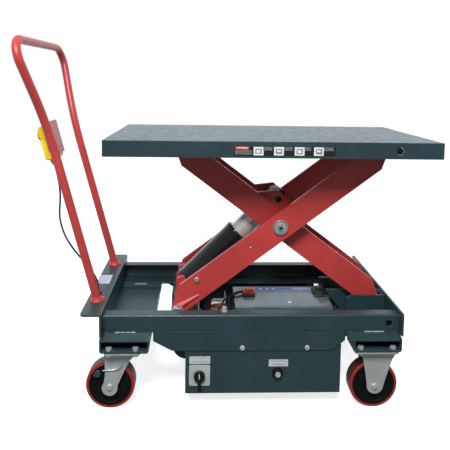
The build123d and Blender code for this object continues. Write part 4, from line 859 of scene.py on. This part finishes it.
def pendant():
    """Scalloped yellow shell with a grey side panel, in place of the plain box."""
    ahead = slide_axis("press_up")
    up = Vector((-ahead.z, 0, ahead.x))
    low = Vector(corner("pendant_box"))
    high = Vector(corner("pendant_box", (1, 1, 1)))
    half_width = (high.y - low.y) / 2
    tall, deep = SHELL_HEIGHT, SHELL_DEPTH
    heights = [-tall + 6 + (2 * tall - 12) * i / OUTLINE_STEPS for i in range(OUTLINE_STEPS + 1)]
    outline = [(shell_face(z), z) for z in heights]
    outline += [(-deep + 3, tall - 2), (-deep + 8, tall), (deep - 5, tall), (deep, tall - 5), (deep, -tall + 5),
                (deep - 5, -tall), (-deep + 10, -tall), (-deep + 4, -tall + 2)]
    bm = bmesh.new()
    add_prism(bm, outline, -half_width, half_width, bevel=5.0)
    for side in (-1, 1):
        add_box(bm, (-2.0, side * half_width - 0.9, -30.0), (deep - 3, side * half_width + 0.9, 33.0), 1, 0.8)
        for z in (-46.0, 46.0):
            add_turned(bm, [(-0.3, 2.8), (0.5, 2.6), (0.7, 2.2), (0.7, 0.0)],
                       (8.0, side * half_width, z), (0, side, 0), 2, 20)
    rim = [(0.5, 12.6), (-1.4, 12.2), (-1.4, 10.6), (0.5, 10.4)]
    for z in BUTTONS:
        add_turned(bm, rim, (-deep, 0, z), (1, 0, 0), 1, 40, True)
    turn = Matrix((ahead, Y_AXIS, up)).transposed()
    bmesh.ops.rotate(bm, cent=(0, 0, 0), matrix=turn, verts=bm.verts)
    bmesh.ops.translate(bm, vec=(low + high) / 2, verts=bm.verts)
    piece = finish_mesh("pendant_shell", bm, ("yellow", "panel_grey", "zinc"), "chassis", 40)
    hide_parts("pendant_box")


# ---- cord -----------------------------------------------------------------
CABLE_ROUTE = [                  # millimetres; X from the handle-end plate
    (-158.7, -99.0, 688.5), (-153.0, -102.0, 630.0), (-159.0, -103.0, 573.0), (-144.0, -104.0, 512.0),
    (-112.0, -106.0, 460.0), (-73.0, -108.0, 417.0), (-44.0, -109.5, 379.0), (-32.0, -110.0, 346.0),
    (-32.0, -110.0, 321.0),
]


def pendant_cable():
    """Thin control cable from the gland to the grommet in the handle flange."""
    gland = corner("pendant_gland")
    points = [(gland[0] + 14.4, -99.0, gland[2] + 1.3)]
    points += [(CHASSIS_X + x, y, z) for x, y, z in CABLE_ROUTE]
    curve = bpy.data.curves.new("pendant_cable_line", "CURVE")
    curve.dimensions = "3D"
    spline = curve.splines.new("NURBS")
    spline.points.add(len(points) - 1)
    for point, place in zip(spline.points, points):
        point.co = (place[0] * MM, place[1] * MM, place[2] * MM, 1.0)
    spline.order_u = 3
    spline.use_endpoint_u = True
    curve.resolution_u = 24
    curve.bevel_depth = 3.0 * MM
    curve.bevel_resolution = 6
    curve.materials.append(MATERIALS["rubber"])
    cable = bpy.data.objects.new("pendant_cable_line", curve)
    bpy.context.scene.collection.objects.link(cable)
    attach(cable, "chassis")
    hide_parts("pendant_cable")


skirt_strip()
box_labels()
slot_shade_strips()
chassis_welds()
outer_arm_details()
inner_arm_details()
pivot_details()
ram_details()
wheel_looks()
brake_details()
box_fittings()
battery_details()
far_shade_sheet()
battery_boots()
wiring()
pendant()
pendant_cable()


# ---- stage, light and camera ----------------------------------------------
TOP_LIGHT = 0.75                 # world strength straight up, and at the horizon
SIDE_LIGHT = 1.45
FRONT_SHARE = 0.20               # share of that strength on the camera's side
LOW_LIGHT = 0.75                 # share of it from below the horizon
FLOOR_GLOW = 0.72
FLOOR_HALF = 9.0                 # metres
KEY_PLACE, KEY_TARGET = (-0.5, -2.5, 3.4), (0, 0, 0.45)
KEY_SIZE, KEY_POWER = 1.2, 170.0
CAMERA_PLACE = (CHASSIS_X * MM + 0.30430, -1.7113, 1.0146)
CAMERA_TURN = (4.42, 2.13, 0.84)                 # degrees of pitch, yaw and roll
LENS, SENSOR = 40.154, 36.0
SHIFT = (0.0058, -0.2352)


def add_floor():
    """Large pale floor."""
    mesh = bpy.data.meshes.new("floor")
    half = FLOOR_HALF
    mesh.from_pydata([(-half, -half, 0), (half, -half, 0), (half, half, 0), (-half, half, 0)], [],
                     [(0, 1, 2, 3)])
    floor = bpy.data.objects.new("floor", mesh)
    bpy.context.scene.collection.objects.link(floor)
    material, tree, shader = new_material("floor")
    shader.inputs["Base Color"].default_value = (0.80, 0.80, 0.80, 1)
    shader.inputs["Roughness"].default_value = 0.8
    shader.inputs["Specular IOR Level"].default_value = 0.1
    shader.inputs["Emission Color"].default_value = (1.0, 1.0, 1.0, 1)
    shader.inputs["Emission Strength"].default_value = FLOOR_GLOW
    mesh.materials.append(material)
    floor.visible_diffuse = False
    floor.visible_glossy = False


def add_key_light():
    """Square area light aimed at the object from above the camera."""
    data = bpy.data.lights.new("key", "AREA")
    data.shape = "SQUARE"
    data.size = KEY_SIZE
    data.energy = KEY_POWER
    light = bpy.data.objects.new("key", data)
    bpy.context.scene.collection.objects.link(light)
    light.location = KEY_PLACE
    light.rotation_euler = (Vector(KEY_TARGET) - Vector(KEY_PLACE)).to_track_quat("-Z", "Y").to_euler()


def add_world():
    """Even white backdrop to the camera; its light is strongest at the horizon behind the object."""
    world = bpy.data.worlds.new("studio")
    bpy.context.scene.world = world
    world.use_nodes = True
    tree = world.node_tree
    background = tree.nodes["Background"]
    output = tree.nodes["World Output"]
    place = tree.nodes.new("ShaderNodeTexCoord")
    split = tree.nodes.new("ShaderNodeSeparateXYZ")
    tree.links.new(place.outputs["Generated"], split.inputs["Vector"])
    up = ramp(tree, split.outputs["Z"], -0.1, 0.9, SIDE_LIGHT, TOP_LIGHT)
    back = ramp(tree, split.outputs["Y"], -0.6, 0.8, FRONT_SHARE, 1.0)
    below = ramp(tree, split.outputs["Z"], -0.12, 0.0, LOW_LIGHT, 1.0)
    level = arithmetic(tree, "MULTIPLY", arithmetic(tree, "MULTIPLY", up, back), below)
    tree.links.new(level, background.inputs["Strength"])
    background.inputs["Color"].default_value = (0.86, 0.945, 1.0, 1)
    seen = tree.nodes.new("ShaderNodeBackground")
    seen.inputs["Color"].default_value = (1.0, 1.0, 1.0, 1)
    path = tree.nodes.new("ShaderNodeLightPath")
    choose = tree.nodes.new("ShaderNodeMixShader")
    tree.links.new(path.outputs["Is Camera Ray"], choose.inputs[0])
    tree.links.new(background.outputs[0], choose.inputs[1])
    tree.links.new(seen.outputs[0], choose.inputs[2])
    tree.links.new(choose.outputs[0], output.inputs["Surface"])


def add_camera():
    """Camera at the front left, slightly above the table."""
    pitch, yaw, roll = (math.radians(a) for a in CAMERA_TURN)
    ahead = Vector((math.sin(yaw) * math.cos(pitch), math.cos(yaw) * math.cos(pitch), -math.sin(pitch)))
    right = Vector((math.cos(yaw), -math.sin(yaw), 0))
    up = right.cross(ahead)
    side = math.cos(roll) * right + math.sin(roll) * up
    top = -math.sin(roll) * right + math.cos(roll) * up
    turn = Matrix((side, top, -ahead)).transposed().to_4x4()
    data = bpy.data.cameras.new("camera")
    data.sensor_width = SENSOR
    data.lens = LENS
    data.shift_x, data.shift_y = SHIFT
    camera = bpy.data.objects.new("camera", data)
    bpy.context.scene.collection.objects.link(camera)
    camera.matrix_world = Matrix.Translation(CAMERA_PLACE) @ turn
    bpy.context.scene.camera = camera


add_floor()
add_world()
add_key_light()
add_camera()
bpy.context.scene.view_settings.view_transform = "Standard"
